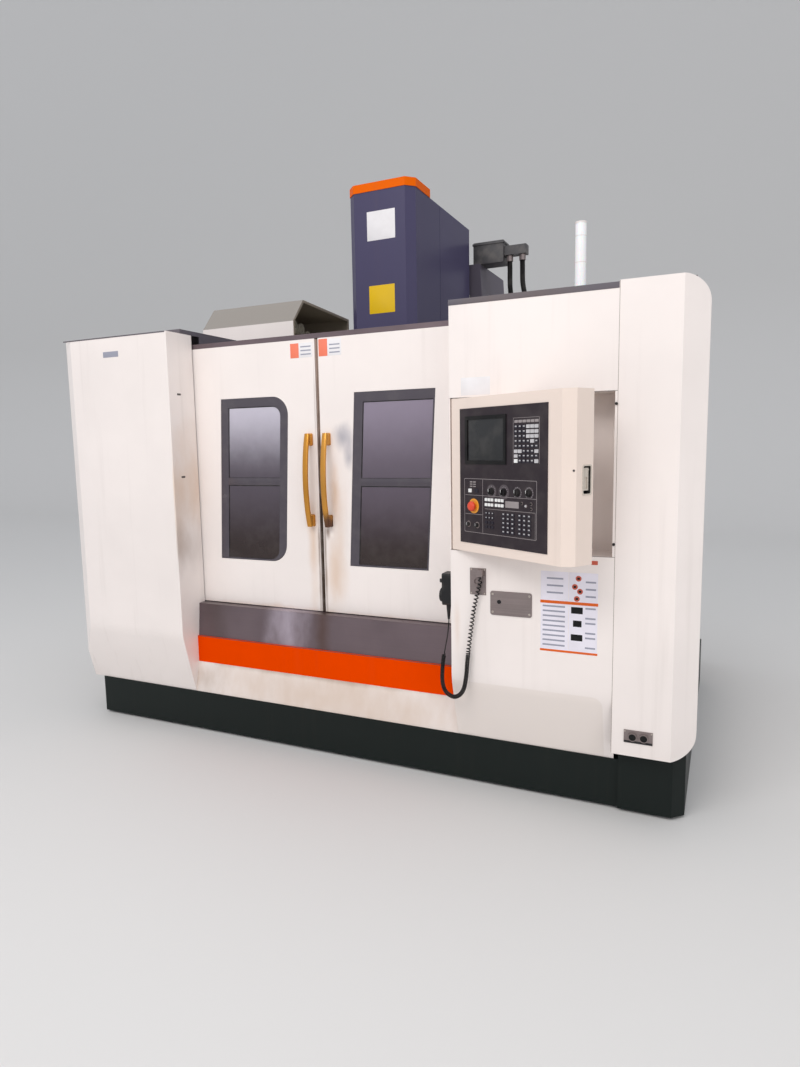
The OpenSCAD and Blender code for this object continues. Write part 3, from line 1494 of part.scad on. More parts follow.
// Conduits: junction box on the column and two hoses down to the electrical cabinet
junction_x = mid_x + 202;
junction_w = 210;
manifold_w = 150;
hose_r = 17;
gland_h = 30;
function from_x(x, points) = [for (p = points) p + [x, 0, 0]];
hose_1 = from_x(mid_x, [[445, 1960, 2760], [445, 1962, 2660], [445, 1975, 2520],
  [465, 2010, 2400], [540, 2070, 2300], [640, 2110, 2250], [710, 2120, 2190],
  [730, 2120, 2120], [730, 2120, 2070]]);
hose_2 = from_x(mid_x, [[530, 1960, 2760], [530, 1962, 2660], [532, 1975, 2540],
  [560, 2010, 2430], [640, 2080, 2340], [760, 2140, 2290], [832, 2150, 2200],
  [850, 2150, 2120], [850, 2150, 2070]]);
module conduits() {
  steps = 4;
  color(black) place() {
    block([junction_x, column_y + 20, column_top_z],
      [junction_x + junction_w, column_y + 160, column_top_z + 141]);
    block([junction_x + junction_w - 1, column_y + 30, column_top_z + 40],
      [junction_x + junction_w + manifold_w, column_y + 100, column_top_z + 100]);
    tube(smooth_path(hose_1, steps), hose_r, 12, [0, 1, 0]);
    tube(smooth_path(hose_2, steps), hose_r, 12, [0, 1, 0]);
    for (end = [hose_1[8], hose_2[8]])
      translate([end.x, end.y, ecab_top_z]) cylinder(r = hose_r + 8, h = gland_h);
  }
}

// HANDWHEEL UNIT on the left face of the right cabinet, and its curly lead

unit_y = 45;
unit_x = open_x1 - unit_t;
unit_high_z = unit_low_z + unit_h;
relief_x = open_x1 - 28;
relief_low_z = 745;
dial_z = 852;
selector_z = 918;
selector_in = 20;
selector_r = 9;
axle_small_r = 4;

module handwheel_unit() {
  color(black) place() {
    difference() {
      run_x(unit_x, open_x1) {
        round_rect([unit_y - unit_w / 2, unit_low_z], [unit_y + unit_w / 2, unit_high_z],
          [16, 16, 8, 8]);
        translate([unit_y - 18, unit_high_z - root]) square([36, 34 + root]);
      }
      block([unit_x - 1, unit_y - unit_w, unit_high_z],
        [open_x1 - 10, unit_y + unit_w, unit_high_z + 35]);
      bar_x(unit_y, dial_z, axle_small_r + fit, unit_x - 1, unit_x + 16);
      for (side = [-1, 1])
        bar_x(unit_y + side * selector_in, selector_z, axle_small_r + fit, unit_x - 1,
          unit_x + 16);
    }
    translate([relief_x, unit_y, relief_low_z])
      cylinder(r1 = 5, r2 = 11, h = unit_low_z - relief_low_z + root);
  }
}
module handwheel_dial() {
  x1 = unit_x - slide_gap;
  color([0.16, 0.16, 0.17]) place() difference() {
    union() {
      bar_x(unit_y, dial_z, dial_r, x1 - 16, x1);
      bar_x(unit_y, dial_z, axle_small_r, x1 - 1, x1 + 14);
      bar_x(unit_y + dial_r * 0.6, dial_z, 5, x1 - 30, x1 - 15);
    }
    for (i = [0 : 17])
      translate([x1 - 8, unit_y, dial_z]) rotate([i * 20, 0, 0])
        translate([-9, 0, dial_r]) rotate([0, 90, 0]) cylinder(r = 2, h = 18, $fn = 16);
  }
}
module selector(side) {
  x1 = unit_x - slide_gap;
  color([0.2, 0.2, 0.2]) place() {
    bar_x(unit_y + side * selector_in, selector_z, selector_r, x1 - 8, x1);
    bar_x(unit_y + side * selector_in, selector_z, axle_small_r, x1 - 1, x1 + 14);
    block([x1 - 15, unit_y + side * selector_in - 2, selector_z - 8],
      [x1 - 7.5, unit_y + side * selector_in + 2, selector_z + 8]);
  }
}
module axis_selector() {
  selector(-1);
}
module step_selector() {
  selector(1);
}

// Lead: a short straight stretch, then the curly stretch as one round tube
lead_r = 3;
curl_r = 10;
lead_route = from_x(open_x1, [[-28, 45, 745], [-28, 45, 735], [-29, 44, 715],
  [-32, 38, 675], [-37, 30, 635], [-41, 22, 600]]);
curl_route = from_x(open_x1, [[-41, 22, 600], [-43, 12, 570], [-42, -2, 530],
  [-36, -18, 480], [-18, -28, 443], [15, -33, 426], [44, -34, 434], [66, -32, 465],
  [76, -28, 520], [81, -24, 590], [88, -21, 660], [98, -19, 740], [110, -18, 820],
  [126, -17, 890], [135, -17, 925], [136, -17, 945], [136, -17, 955]]);
module lead_straight() {
  color(black) place() tube(smooth_path(lead_route, 3), lead_r, 8, [0, 1, 0]);
}
module lead_curly() {
  color(black) place() tube(smooth_path(curl_route, 4), curl_r, 12, [0, 1, 0]);
}

bed();
column();
ways_and_screws();
levelling_feet();
base_skirt();
left_front_panel();
left_side_panel();
right_upper_panel();
right_lower_panel();
pendant_bay();
right_fairing();
right_side_panel();
cabinet_roofs();
rear_panel();
inner_enclosure();
front_apron();
orange_band();
sill_panel();
door_tracks();
magazine_hood();
changer_box();
wall_plates();
signal_lamp();
conduits();
handwheel_unit();
lead_straight();
lead_curly();
electrical_cabinet();
left_door();
left_window();
left_handle();
right_door();
right_window();
right_handle();
pendant_box();
pendant_plate();
screen();
key_fields();
stop_button();
mode_knob();
feed_knob();
rapid_knob();
speed_knob();
pendant_latch();
saddle();
table();
way_cover_a();
way_cover_b();
spindle_head();
head_cover();
cover_cap();
spindle();
tool_disc();
arm_shaft();
change_arm();
cabinet_door();
main_switch();
handwheel_dial();
axis_selector();
step_selector();
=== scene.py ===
# %% [markdown]
# # A vertical machining center, dressed for a studio picture
#
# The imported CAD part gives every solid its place. This script adds what a solid model leaves
# out: paint with its wear, glass, rubber, keys, screws, hoses and a curly lead. Each cell is
# one step of the lesson and prints what it made.

import functools
import math

import bpy
import numpy as np
from mathutils import Matrix, Vector


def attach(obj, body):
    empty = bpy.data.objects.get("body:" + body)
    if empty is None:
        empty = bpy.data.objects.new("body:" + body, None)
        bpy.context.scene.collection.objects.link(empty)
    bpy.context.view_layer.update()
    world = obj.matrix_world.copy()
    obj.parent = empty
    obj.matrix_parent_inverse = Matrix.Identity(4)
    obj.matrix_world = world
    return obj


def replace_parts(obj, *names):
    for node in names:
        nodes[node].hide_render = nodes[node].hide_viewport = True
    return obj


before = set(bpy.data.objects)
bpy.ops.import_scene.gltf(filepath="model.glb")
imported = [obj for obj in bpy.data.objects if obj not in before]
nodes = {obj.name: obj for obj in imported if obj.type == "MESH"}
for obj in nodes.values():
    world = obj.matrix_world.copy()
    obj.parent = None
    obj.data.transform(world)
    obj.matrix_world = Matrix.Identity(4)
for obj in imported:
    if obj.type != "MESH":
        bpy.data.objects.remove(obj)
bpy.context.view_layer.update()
print("CAD nodes:", len(nodes))

# %% [markdown]
# ## Places
# The part is drawn in millimetres with y = 0 at the cabinets' front plane. The frame is in
# metres with its origin in the middle of the footprint. `at` turns the first into the second.
# The operator box stands open, so its panel has a `Face` of its own.

# %% Places
FRONT_Y = -1151.303848
OPENING_X = -868.0
DOOR_Y, DOOR_LOW, DOOR_HIGH = 190.0, 687.0, 2017.0
HINGE, OPEN_DEG = (645.0, 12.0), 30.0
BOX_W, BOX_SKIN, CHAMFER = 646.0, 12.0, 36.0
KNOBS = {"mode_knob": (255, 1317), "feed_knob": (324, 1317),
         "rapid_knob": (397, 1318), "speed_knob": (457, 1319)}
STOP = (150, 1254)


def at(points):
    """Machine millimetres to frame metres: (x, y, z) -> (x, y + FRONT_Y, z) / 1000."""
    p = np.atleast_2d(np.asarray(points, float))
    return (p + [0.0, FRONT_Y, 0.0]) / 1000.0


class Face:
    """A flat face with an origin, a right-hand and an up direction, all in machine mm.

    A local point (u, v, n) lies at origin + u * right + v * up + n * out,
    with out = right x up, so n counts away from the face."""

    def __init__(self, origin, right, up=(0, 0, 1)):
        self.origin = np.array(origin, float)
        self.right = np.array(right, float)
        self.up = np.array(up, float)
        self.out = np.cross(self.right, self.up)

    def place(self, local):
        p = np.atleast_2d(np.asarray(local, float))
        return at(self.origin + p[:, :1] * self.right + p[:, 1:2] * self.up
                  + p[:, 2:3] * self.out)

    def lay(self, outline, level):
        """An outline (u, v), so many mm before the face."""
        return self.place(np.column_stack([outline, np.full(len(outline), level)]))


def facing(y):
    """The face at depth y that looks to the front."""
    return Face((0, y, 0), (1, 0, 0))


turn = math.radians(OPEN_DEG)
panel_right = np.array([math.cos(turn), -math.sin(turn), 0])
panel_out = np.array([-math.sin(turn), -math.cos(turn), 0])


def on_box(along, out):
    """A point of the open operator box: HINGE + along * panel_right + out * panel_out."""
    return np.array([*HINGE, 0]) + along * panel_right + out * panel_out


front, door = facing(0), facing(DOOR_Y)
panel = Face(on_box(-BOX_SKIN, 15), panel_right)
print("operator panel faces", np.round(panel.out, 3))


def show(name, data):
    """A new object with this data, in the scene."""
    obj = bpy.data.objects.new(name, data)
    bpy.context.scene.collection.objects.link(obj)
    return obj

# %% [markdown]
# ## Camera
# The camera stands where the photograph was taken, a little above chest height and to the
# right. It looks 25 degrees to the left and 7 degrees down, and leans by one degree. The
# columns of its matrix are its right, up and backward directions.

# %% Camera
CAMERA_PLACE, LENS = (1680, -2780, 1500), 23.79
view = np.eye(3)
for degrees, axis in ((24.85, "Z"), (-7.07, "X"), (1.017, "Y")):
    view = view @ np.array(Matrix.Rotation(math.radians(degrees), 3, axis))
pose = np.eye(4)
pose[:3, :3] = np.column_stack([view[:, 0], view[:, 2], -view[:, 1]])
pose[:3, 3] = at(CAMERA_PLACE)[0]

camera = show("camera", bpy.data.cameras.new("camera"))
camera.matrix_world = Matrix(pose.tolist())
camera.data.sensor_fit = "VERTICAL"
camera.data.sensor_height = 36
camera.data.lens = LENS
camera.data.clip_end = 60
bpy.context.scene.camera = camera
print("camera at", np.round(pose[:3, 3], 3))

# %% [markdown]
# ## Surfaces from grids
# Every swept or turned surface is a grid of points: one row per ring, one column per side.
# Neighbouring rows are joined by quads. A `Mesh` gathers many small shapes into one piece.

# %% Grids and meshes


def grid_faces(rows, cols, close_rows=False):
    """Quads (i, j) (i, j+1) (i+1, j+1) (i+1, j) of a grid whose columns close on themselves."""
    faces = []
    for i in range(rows if close_rows else rows - 1):
        here, above = i * cols, (i + 1) % rows * cols
        for j in range(cols):
            k = (j + 1) % cols
            faces.append((here + j, here + k, above + k, above + j))
    return faces


class Mesh:
    """Gathers shapes, and builds them as one object."""

    def __init__(self):
        self.verts = []
        self.faces = []
        self.slots = []
        self.count = 0

    def add(self, verts, faces, slot=0):
        self.verts.append(np.asarray(verts, float))
        self.faces += [tuple(k + self.count for k in f) for f in faces]
        self.slots += [slot] * len(faces)
        self.count += len(verts)

    def rings(self, rings, close_rows=False, slot=0):
        """A grid of rings of equal length, in frame metres, capped unless the rows close."""
        rows, cols = len(rings), len(rings[0])
        faces = grid_faces(rows, cols, close_rows)
        if not close_rows:
            faces.append(tuple(range(cols - 1, -1, -1)))
            faces.append(tuple((rows - 1) * cols + j for j in range(cols)))
        self.add(np.concatenate(rings), faces, slot)

    def build(self, name, body, materials):
        data = bpy.data.meshes.new(name)
        data.from_pydata(np.concatenate(self.verts).tolist(), [], self.faces)
        for m in materials:
            data.materials.append(m)
        data.polygons.foreach_set("material_index", self.slots)
        data.validate()
        obj = show(name, data)
        data.shade_smooth()
        data.set_sharp_from_angle(angle=math.radians(40))
        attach(obj, body)
        print(f"{name}: {len(data.polygons)} faces on {body}")
        return obj


def box_outline(x0, z0, x1, z1, radii, steps=6):
    """Outline of a rectangle whose corners have their own radii: top right, top left, low
    left, low right. It goes round anticlockwise from the right end of the top right corner,
    and a corner's points are centre + r * (cos a, sin a)."""
    out = []
    corners = ((x1, z1, 1, 1), (x0, z1, -1, 1), (x0, z0, -1, -1), (x1, z0, 1, -1))
    for k, ((x, z, sx, sz), r) in enumerate(zip(corners, radii)):
        for i in range(steps + 1):
            a = math.pi / 2 * (k + i / steps)
            out.append((x - sx * r + r * math.cos(a), z - sz * r + r * math.sin(a)))
    return np.array(out)


def rounded(w, h, r, steps=4):
    """Outline of a rectangle w by h about the middle, with four corners of radius r."""
    r = min(r, w / 2, h / 2)
    return box_outline(-w / 2, -h / 2, w / 2, h / 2, (r, r, r, r), steps)


def disc(r, steps=20):
    """Outline of a circle of radius r."""
    a = np.arange(steps) * 2 * math.pi / steps
    return np.stack([r * np.cos(a), r * np.sin(a)], 1)


def pad(mesh, face, middle, shape, height, edge=0.4, base=0.0, slot=0, dish=0.0):
    """A raised pad on a face: straight sides, an edge rounded over two rings, a flat top.

    The rings are the outline shrunk towards its middle by 0, 0, 0.3 and 1 times the edge, at
    the heights base, height - edge, height - 0.3 * edge and height. A dish sinks the middle."""
    size = np.abs(shape).max(0)
    steps = [(0, base), (0, height - edge), (0.3, height - 0.3 * edge), (1, height)]
    if dish:
        steps.append((2.5, height - dish))
    mesh.rings([face.lay(shape * (1 - inset * edge / size) + middle, level)
                for inset, level in steps], slot=slot)


def ring_shape(mesh, face, middle, outer, inner, height, edge=0.4, base=0.0, slot=0):
    """A flat frame between two outlines of equal length, closed all round."""
    lines = ((outer, base), (outer, height - edge), (outer + (inner - outer) * 0.12, height),
             (inner + (outer - inner) * 0.12, height), (inner, height - edge), (inner, base))
    mesh.rings([face.lay(line + middle, level) for line, level in lines], close_rows=True,
               slot=slot)


print("helpers ready")

# %% [markdown]
# ## Paths
# A smooth path runs through given points: between b and c, with neighbours a and d, it is
# 0.5 * (2b + t(c - a) + t^2(2a - 5b + 4c - d) + t^3(3b - a - 3c + d)).

# %% Paths


def smooth_path(points, steps):
    """Points of the smooth path, `steps` of them per stretch."""
    p = np.asarray(points, float)
    out = []
    for i in range(len(p) - 1):
        a, b, c, d = p[max(i - 1, 0)], p[i], p[i + 1], p[min(i + 2, len(p) - 1)]
        for t in np.arange(steps) / steps:
            out.append(0.5 * (2 * b + t * (c - a) + t * t * (2 * a - 5 * b + 4 * c - d)
                              + t ** 3 * (3 * b - a - 3 * c + d)))
    out.append(p[-1])
    return np.array(out)


def lengths(path):
    """Distance along a path at each of its points."""
    return np.concatenate([[0], np.cumsum(np.linalg.norm(np.diff(path, axis=0), axis=1))])


def resample(path, distances, values=None):
    """A path's points, or other values given at its points, at distances along the path."""
    s = lengths(path)
    values = path if values is None else values
    return np.stack([np.interp(distances, s, values[:, k]) for k in range(3)], 1)


def frames(path, side):
    """Side and third direction along a path. The side is the given one made square to the
    tangent, so it turns no more than the path does."""
    t = np.gradient(path, axis=0)
    t /= np.linalg.norm(t, axis=1)[:, None]
    n = side - (t @ side)[:, None] * t
    n /= np.linalg.norm(n, axis=1)[:, None]
    return n, np.cross(t, n)


def sweep(mesh, path, outline, side, slot=0):
    """Carries an outline (u, v), one per ring or one for all, along a path in machine mm."""
    n, b = frames(path, np.array(side, float))
    shapes = outline if np.ndim(outline) == 3 else [outline] * len(path)
    mesh.rings([at(p + s[:, :1] * ni + s[:, 1:2] * bi)
                for p, s, ni, bi in zip(path, shapes, n, b)], slot=slot)


def upright(mesh, x, y, z0, z1, outline, side=(0, 1, 0), slot=0):
    """A straight upright stretch of an outline."""
    sweep(mesh, np.array([(x, y, z0), (x, y, z1)]), outline, side, slot)


print("paths ready")

# %% [markdown]
# ## The curly lead
# The lead leaves the handwheel unit straight, winds into a tight coil that hangs in a loop, is
# pulled open towards its upper end, and goes into the socket. A coil's point at angle w is
# middle + R * (cos w * side + sin w * third), and the angle grows by 2 pi per pitch.

# %% Lead
LEAD_ROUTE = [(600, 45, 745), (600, 45, 735), (599, 44, 715), (596, 38, 675), (591, 30, 635),
              (587, 22, 600)]
CURL_ROUTE = [(587, 22, 600), (585, 12, 570), (586, -2, 530), (592, -18, 480), (610, -28, 443),
              (643, -33, 426), (672, -34, 434), (694, -32, 465), (704, -28, 520),
              (709, -24, 590), (716, -21, 660), (726, -19, 740), (738, -18, 820),
              (754, -17, 890), (763, -17, 925), (764, -17, 945), (764, -17, 955)]
CORD_D, COIL_R, TURN_POINTS = 5.4, 7.2, 14
OPENS_OVER, CLOSES_OVER = 14, 22
TIGHT_PITCH, PULLED_MORE, OPENING_MORE = 6.3, 10.5, 26
PULLED_FROM, PULLED_OVER = 0.55, 0.05

coarse = smooth_path(CURL_ROUTE, 40)
total = lengths(coarse)[-1]


def opening(place):
    """Share u*u*(3 - 2u) of the coil's full radius at a place in mm along the route."""
    u = np.clip(place / OPENS_OVER, 0, 1) * np.clip((total - place) / CLOSES_OVER, 0, 1)
    return u * u * (3 - 2 * u)


# The winding is looser where the coil opens, so the cord bends no tighter there.
angle, along, coil = 0.0, 0.0, []
while along < total:
    pulled = min(max((along / total - PULLED_FROM) / PULLED_OVER, 0.0), 1.0)
    pitch_now = TIGHT_PITCH + PULLED_MORE * pulled + OPENING_MORE * (1 - opening(along))
    coil.append((along, angle))
    along += pitch_now / TURN_POINTS
    angle += 2 * math.pi / TURN_POINTS
places, angles = np.array(coil).T
side, third = (resample(coarse, places, v) for v in frames(coarse, np.array([0.0, 1.0, 0.0])))
around = np.cos(angles)[:, None] * side + np.sin(angles)[:, None] * third
helix = resample(coarse, places) + (opening(places) * COIL_R)[:, None] * around
lead_world = at(np.concatenate([smooth_path(LEAD_ROUTE, 4)[:-1], helix, [CURL_ROUTE[-1]]]))

curve = bpy.data.curves.new("curly_lead", "CURVE")
curve.dimensions = "3D"
curve.bevel_depth = 1.0
curve.bevel_resolution = 2
curve.use_fill_caps = True
spline = curve.splines.new("POLY")
spline.points.add(len(lead_world) - 1)
spline.points.foreach_set("co", np.column_stack([lead_world, np.ones(len(lead_world))]).ravel())
# Each point carries the lead's radius in metres.
spline.points.foreach_set("radius", np.full(len(lead_world), CORD_D / 2000))
lead = show("curly_lead", curve)
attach(lead, "base")
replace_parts(lead, "lead_straight", "lead_curly")

# %% [markdown]
# ## Shared effects
# Three node groups hold the effects that many materials use. They read Object coordinates,
# so a stain stays in its place on the machine. Each returns a colour, a roughness and a normal.
# `Nodes` has short ways to lay nodes. A value there is a number, a colour, a vector or the
# output of another node.

# %% Node helpers


class Nodes:
    """Lays nodes in a tree, from left to right."""

    def __init__(self, tree):
        self.tree = tree
        self.column = 0

    def give(self, socket, value):
        """Gives an input its value, or links it to another node's output."""
        if isinstance(value, bpy.types.NodeSocket):
            self.tree.links.new(value, socket)
        else:
            socket.default_value = value

    def new(self, kind, inputs=(), **settings):
        """A node with its settings and its inputs, (name or number, value) each."""
        node = self.tree.nodes.new(kind)
        node.location = (self.column, -220 * (len(self.tree.nodes) % 4))
        self.column += 160
        for key, value in settings.items():
            setattr(node, key, value)
        for key, value in dict(inputs).items():
            self.give(node.inputs[key], value)
        return node

    def place(self):
        return self.new("ShaderNodeTexCoord").outputs["Object"]

    def axes(self, place):
        """X, Y and Z of a place."""
        return self.new("ShaderNodeSeparateXYZ", {0: place}).outputs

    def math(self, kind, *values, clamp=False):
        return self.new("ShaderNodeMath", enumerate(values), operation=kind,
                        use_clamp=clamp).outputs[0]

    def distance(self, a, b):
        """sqrt(a^2 + b^2)"""
        squares = [self.math("MULTIPLY", v, v) for v in (a, b)]
        return self.math("SQRT", self.math("ADD", *squares))

    def ramp(self, value, low, high, out_low=0.0, out_high=1.0):
        """A smooth step of the value from low to high, given as out_low to out_high."""
        names = ("Value", "From Min", "From Max", "To Min", "To Max")
        return self.new("ShaderNodeMapRange", zip(names, (value, low, high, out_low, out_high)),
                        interpolation_type="SMOOTHSTEP").outputs[0]

    def noise(self, vector, scale, detail=4.0, stretch=None):
        if stretch is not None:
            vector = self.new("ShaderNodeMapping", {"Vector": vector, "Scale": stretch}).outputs[0]
        return self.new("ShaderNodeTexNoise", {"Vector": vector, "Scale": scale,
                                               "Detail": detail}).outputs[0]

    def mix(self, factor, a, b):
        return self.new("ShaderNodeMix", {0: factor, 6: a, 7: b}, data_type="RGBA").outputs[2]

    def scaled(self, color, factor):
        return self.new("ShaderNodeVectorMath", {0: color, "Scale": factor},
                        operation="SCALE").outputs[0]

    def bump(self, height, strength, distance):
        return self.new("ShaderNodeBump", {"Height": height, "Strength": strength,
                                           "Distance": distance}).outputs[0]

    def finish(self, group_output, *values):
        """Hands a group's results to its outputs."""
        for socket, value in zip(group_output, values):
            self.give(socket, value)
        print(f"group {self.tree.name}: {len(self.tree.nodes)} nodes")


def new_group(name, **inputs):
    """A node group with the inputs given with their defaults; a tuple is a colour."""
    tree = bpy.data.node_groups.new(name, "ShaderNodeTree")
    for key, default in inputs.items():
        kind = "NodeSocketColor" if isinstance(default, tuple) else "NodeSocketFloat"
        socket = tree.interface.new_socket(key, in_out="INPUT", socket_type=kind)
        socket.default_value = default
    for key, kind in (("Color", "Color"), ("Roughness", "Float"), ("Normal", "Vector")):
        tree.interface.new_socket(key, in_out="OUTPUT", socket_type="NodeSocket" + kind)
    given = tree.nodes.new("NodeGroupInput").outputs
    return tree, Nodes(tree), given, tree.nodes.new("NodeGroupOutput").inputs


print("node helpers ready")

# %% Group: painted sheet
DIRT_COLOR, DUST_COLOR = (0.20, 0.14, 0.095, 1), (0.32, 0.29, 0.26, 1)
sheet_group, n, given, result = new_group(
    "painted_sheet", Color=(0.8, 0.8, 0.8, 1), Grime=0.5, Foot=0.55, Roughness=0.4)
place = n.place()
mottle = n.noise(place, 2.2, 6.0)
streaks = n.noise(place, 1.0, 5.0, stretch=(22, 22, 0.9))
specks = n.noise(place, 60.0, 3.0)
low_part = n.ramp(n.math("SUBTRACT", given["Foot"], n.axes(place)[2]), -0.02, 0.34)
dust = n.math("MULTIPLY", low_part, n.ramp(mottle, 0.3, 0.75))
runs = n.math("MULTIPLY", n.ramp(streaks, 0.55, 0.82), 0.35)
spots = n.math("MULTIPLY", n.ramp(specks, 0.66, 0.8), n.ramp(mottle, 0.45, 0.7))
overlay = n.math("ADD", dust, n.math("ADD", runs, n.math("MULTIPLY", spots, 0.25)))
overlay = n.math("MULTIPLY", overlay, given["Grime"], clamp=True)
toned = n.scaled(given["Color"], n.ramp(mottle, 0.25, 0.75, 0.955, 1.02))
n.finish(result, n.mix(n.math("MULTIPLY", overlay, 0.55), toned, DIRT_COLOR),
         n.math("ADD", given["Roughness"], n.math("MULTIPLY", overlay, 0.3), clamp=True),
         n.bump(n.noise(place, 260.0, 2.0), 0.05, 0.002))

# %% Group: worn metal
metal_group, n, given, result = new_group(
    "worn_metal", Color=(0.6, 0.6, 0.6, 1), Roughness=0.35, Brush=1.0)
place = n.place()
brushed = n.math("SUBTRACT", n.noise(place, 1.0, 6.0, stretch=(3, 240, 240)), 0.5)
grain = n.math("ADD", n.math("MULTIPLY", brushed, given["Brush"]), 0.5)
cloud = n.noise(place, 5.0, 5.0)
shade = n.math("ADD", n.ramp(grain, 0.3, 0.7, 0.93, 1.05), n.ramp(cloud, 0.3, 0.7, -0.07, 0.04))
n.finish(result, n.scaled(given["Color"], shade),
         n.math("ADD", given["Roughness"], n.ramp(cloud, 0.35, 0.75, -0.06, 0.14)),
         n.bump(grain, 0.06, 0.001))

# %% Group: fine grain
grain_group, n, given, result = new_group(
    "fine_grain", Color=(0.1, 0.1, 0.1, 1), Roughness=0.5, Grain=900.0, Depth=0.1, Dust=0.15)
place = n.place()
film = n.math("MULTIPLY", n.ramp(n.noise(place, 14.0, 5.0), 0.4, 0.75), given["Dust"])
n.finish(result, n.mix(film, given["Color"], DUST_COLOR),
         n.math("ADD", given["Roughness"], n.math("MULTIPLY", film, 0.6), clamp=True),
         n.bump(n.noise(place, given["Grain"], 2.0), given["Depth"], 0.0006))

# %% [markdown]
# ## Materials
# A material is a group's colour, roughness and normal on one shader. Colours are given as
# the eye reads them on a screen and turned into the linear values that light works with.

# %% Material makers


def linear(r, g, b):
    """Screen colour 0-255 to linear: c / 12.92 below 0.04045, else ((c + 0.055) / 1.055)^2.4."""
    out = []
    for v in (r, g, b):
        c = v / 255
        out.append(c / 12.92 if c <= 0.04045 else ((c + 0.055) / 1.055) ** 2.4)
    return (*out, 1.0)


def shader_of(mat):
    return mat.node_tree.nodes["Principled BSDF"]


def material(group, name, rgb, metallic=0.0, coat=0.0, specular=0.5, more=(), **inputs):
    """A material around one shared group, from a screen colour and the group's inputs. Less
    specular keeps a dark or strong colour deep; `more` holds other values of the shader."""
    mat = bpy.data.materials.new(name)
    mat.use_nodes = True
    n = Nodes(mat.node_tree)
    node = n.new("ShaderNodeGroup", node_tree=group)
    node.location = (-300, 200)
    for key, value in {"Color": linear(*rgb), **inputs}.items():
        node.inputs[key].default_value = value
    values = {"Metallic": metallic, "Coat Weight": coat, "Specular IOR Level": specular,
              "Coat Roughness": 0.15, "Base Color": node.outputs["Color"],
              "Roughness": node.outputs["Roughness"], "Normal": node.outputs["Normal"]}
    for key, value in {**values, **dict(more)}.items():
        n.give(shader_of(mat).inputs[key], value)
    return mat


sheet = functools.partial(material, sheet_group)
metal = functools.partial(material, metal_group)
grain = functools.partial(material, grain_group)
print("makers: sheet, metal, grain")

# %% Plain materials
IVORY = (243, 234, 229)
WHITE_COAT = {"coat": 0.12, "Roughness": 0.42}
WORN_BRONZE = {"metallic": 0.7, "coat": 0.1, "Roughness": 0.24, "Grain": 260.0, "Depth": 0.015,
               "Dust": 0.04}
white = sheet("white_paint", IVORY, Grime=0.5, **WHITE_COAT)
cream = sheet("cream_paint", (238, 221, 209), coat=0.2, Grime=0.5, Foot=0.0, Roughness=0.38)
violet = sheet("blue_grey_paint", (76, 72, 100), coat=0.05, specular=0.12, Grime=0.2, Foot=0.0,
               Roughness=0.34)
roof = sheet("roof_paint", (92, 88, 98), Grime=0.6, Foot=3.0, Roughness=0.5)
orange = sheet("orange_paint", (238, 102, 0), specular=0.05, Grime=0.2, Foot=0.0)
band = sheet("orange_band_paint", (232, 68, 0), specular=0.0, Grime=0.15, Foot=0.2)
plinth = sheet("plinth_paint", (20, 27, 25), specular=0.2, Grime=0.08, Foot=0.0, Roughness=0.45)
column_paint = sheet("column_paint", (88, 82, 94), specular=0.3, Grime=0.3, Foot=0.2,
                     Roughness=0.45)
casting = sheet("casting_paint", (190, 190, 180), Grime=0.5, Foot=0.6, Roughness=0.5)

apron = metal("apron_metal", (116, 102, 106), metallic=0.6, specular=0.3, Roughness=0.36,
              Brush=0.3)
sheet_steel = metal("sheet_steel", (165, 165, 168), metallic=0.9, Roughness=0.36)
ground = metal("ground_steel", (190, 190, 192), metallic=1.0, Roughness=0.24)
table_iron = metal("table_iron", (128, 130, 133), metallic=0.85, Roughness=0.34)
plate_metal = metal("plate_metal", (140, 128, 126), metallic=0.6, Roughness=0.42)
zinc = metal("zinc_screw", (206, 196, 184), metallic=0.15, Roughness=0.38)

bronze = grain("handle_bronze", (204, 142, 52), **WORN_BRONZE)
black = grain("black_plastic", (24, 23, 25), specular=0.35, Roughness=0.42, Depth=0.16, Dust=0.1)
rubber = grain("rubber", (22, 20, 20), specular=0.35, Dust=0.12)
seal_bronze = grain("seal_rubber", (66, 50, 40), specular=0.3, Dust=0.3)
panel_film = grain("panel_film", (46, 38, 43), specular=0.25, Roughness=0.4, Depth=0.05,
                   Dust=0.06)
panel_line = grain("panel_line", (150, 142, 142), Roughness=0.4, Depth=0.03, Dust=0.1)
screen_rim = grain("screen_rim", (12, 12, 13), specular=0.25, Roughness=0.36, Depth=0.08,
                   Dust=0.04)
key_light = grain("key_light", (196, 194, 196), Roughness=0.4, Dust=0.12)
key_dark = grain("key_dark", (36, 33, 44), specular=0.3, Roughness=0.4, Dust=0.06)
key_white = grain("key_white", (238, 238, 236), Roughness=0.35, Dust=0.08)
key_mark = grain("key_mark", (178, 176, 178), Roughness=0.4, Depth=0.02, Dust=0.1)
scale_grey = grain("scale_grey", (84, 76, 80), specular=0.3, Roughness=0.4, Depth=0.02, Dust=0.1)
red = grain("red_plastic", (226, 62, 18), coat=0.4, Roughness=0.3, Depth=0.03, Dust=0.05)
yellow = grain("yellow_plastic", (240, 160, 40), Roughness=0.4, Depth=0.03, Dust=0.08)
pot = grain("pot_plastic", (212, 206, 190), Roughness=0.45, Dust=0.2)
paper = grain("paper", (232, 229, 230), Roughness=0.45, Grain=260.0, Depth=0.03, Dust=0.1)
paper_grey = grain("paper_grey", (234, 230, 240), Roughness=0.4, Grain=260.0, Depth=0.03,
                   Dust=0.1)
paper_line = grain("paper_line", (150, 152, 166), Roughness=0.45, Depth=0.02, Dust=0.1)
sticker_red = grain("sticker_red", (196, 84, 60), Roughness=0.4, Dust=0.1)
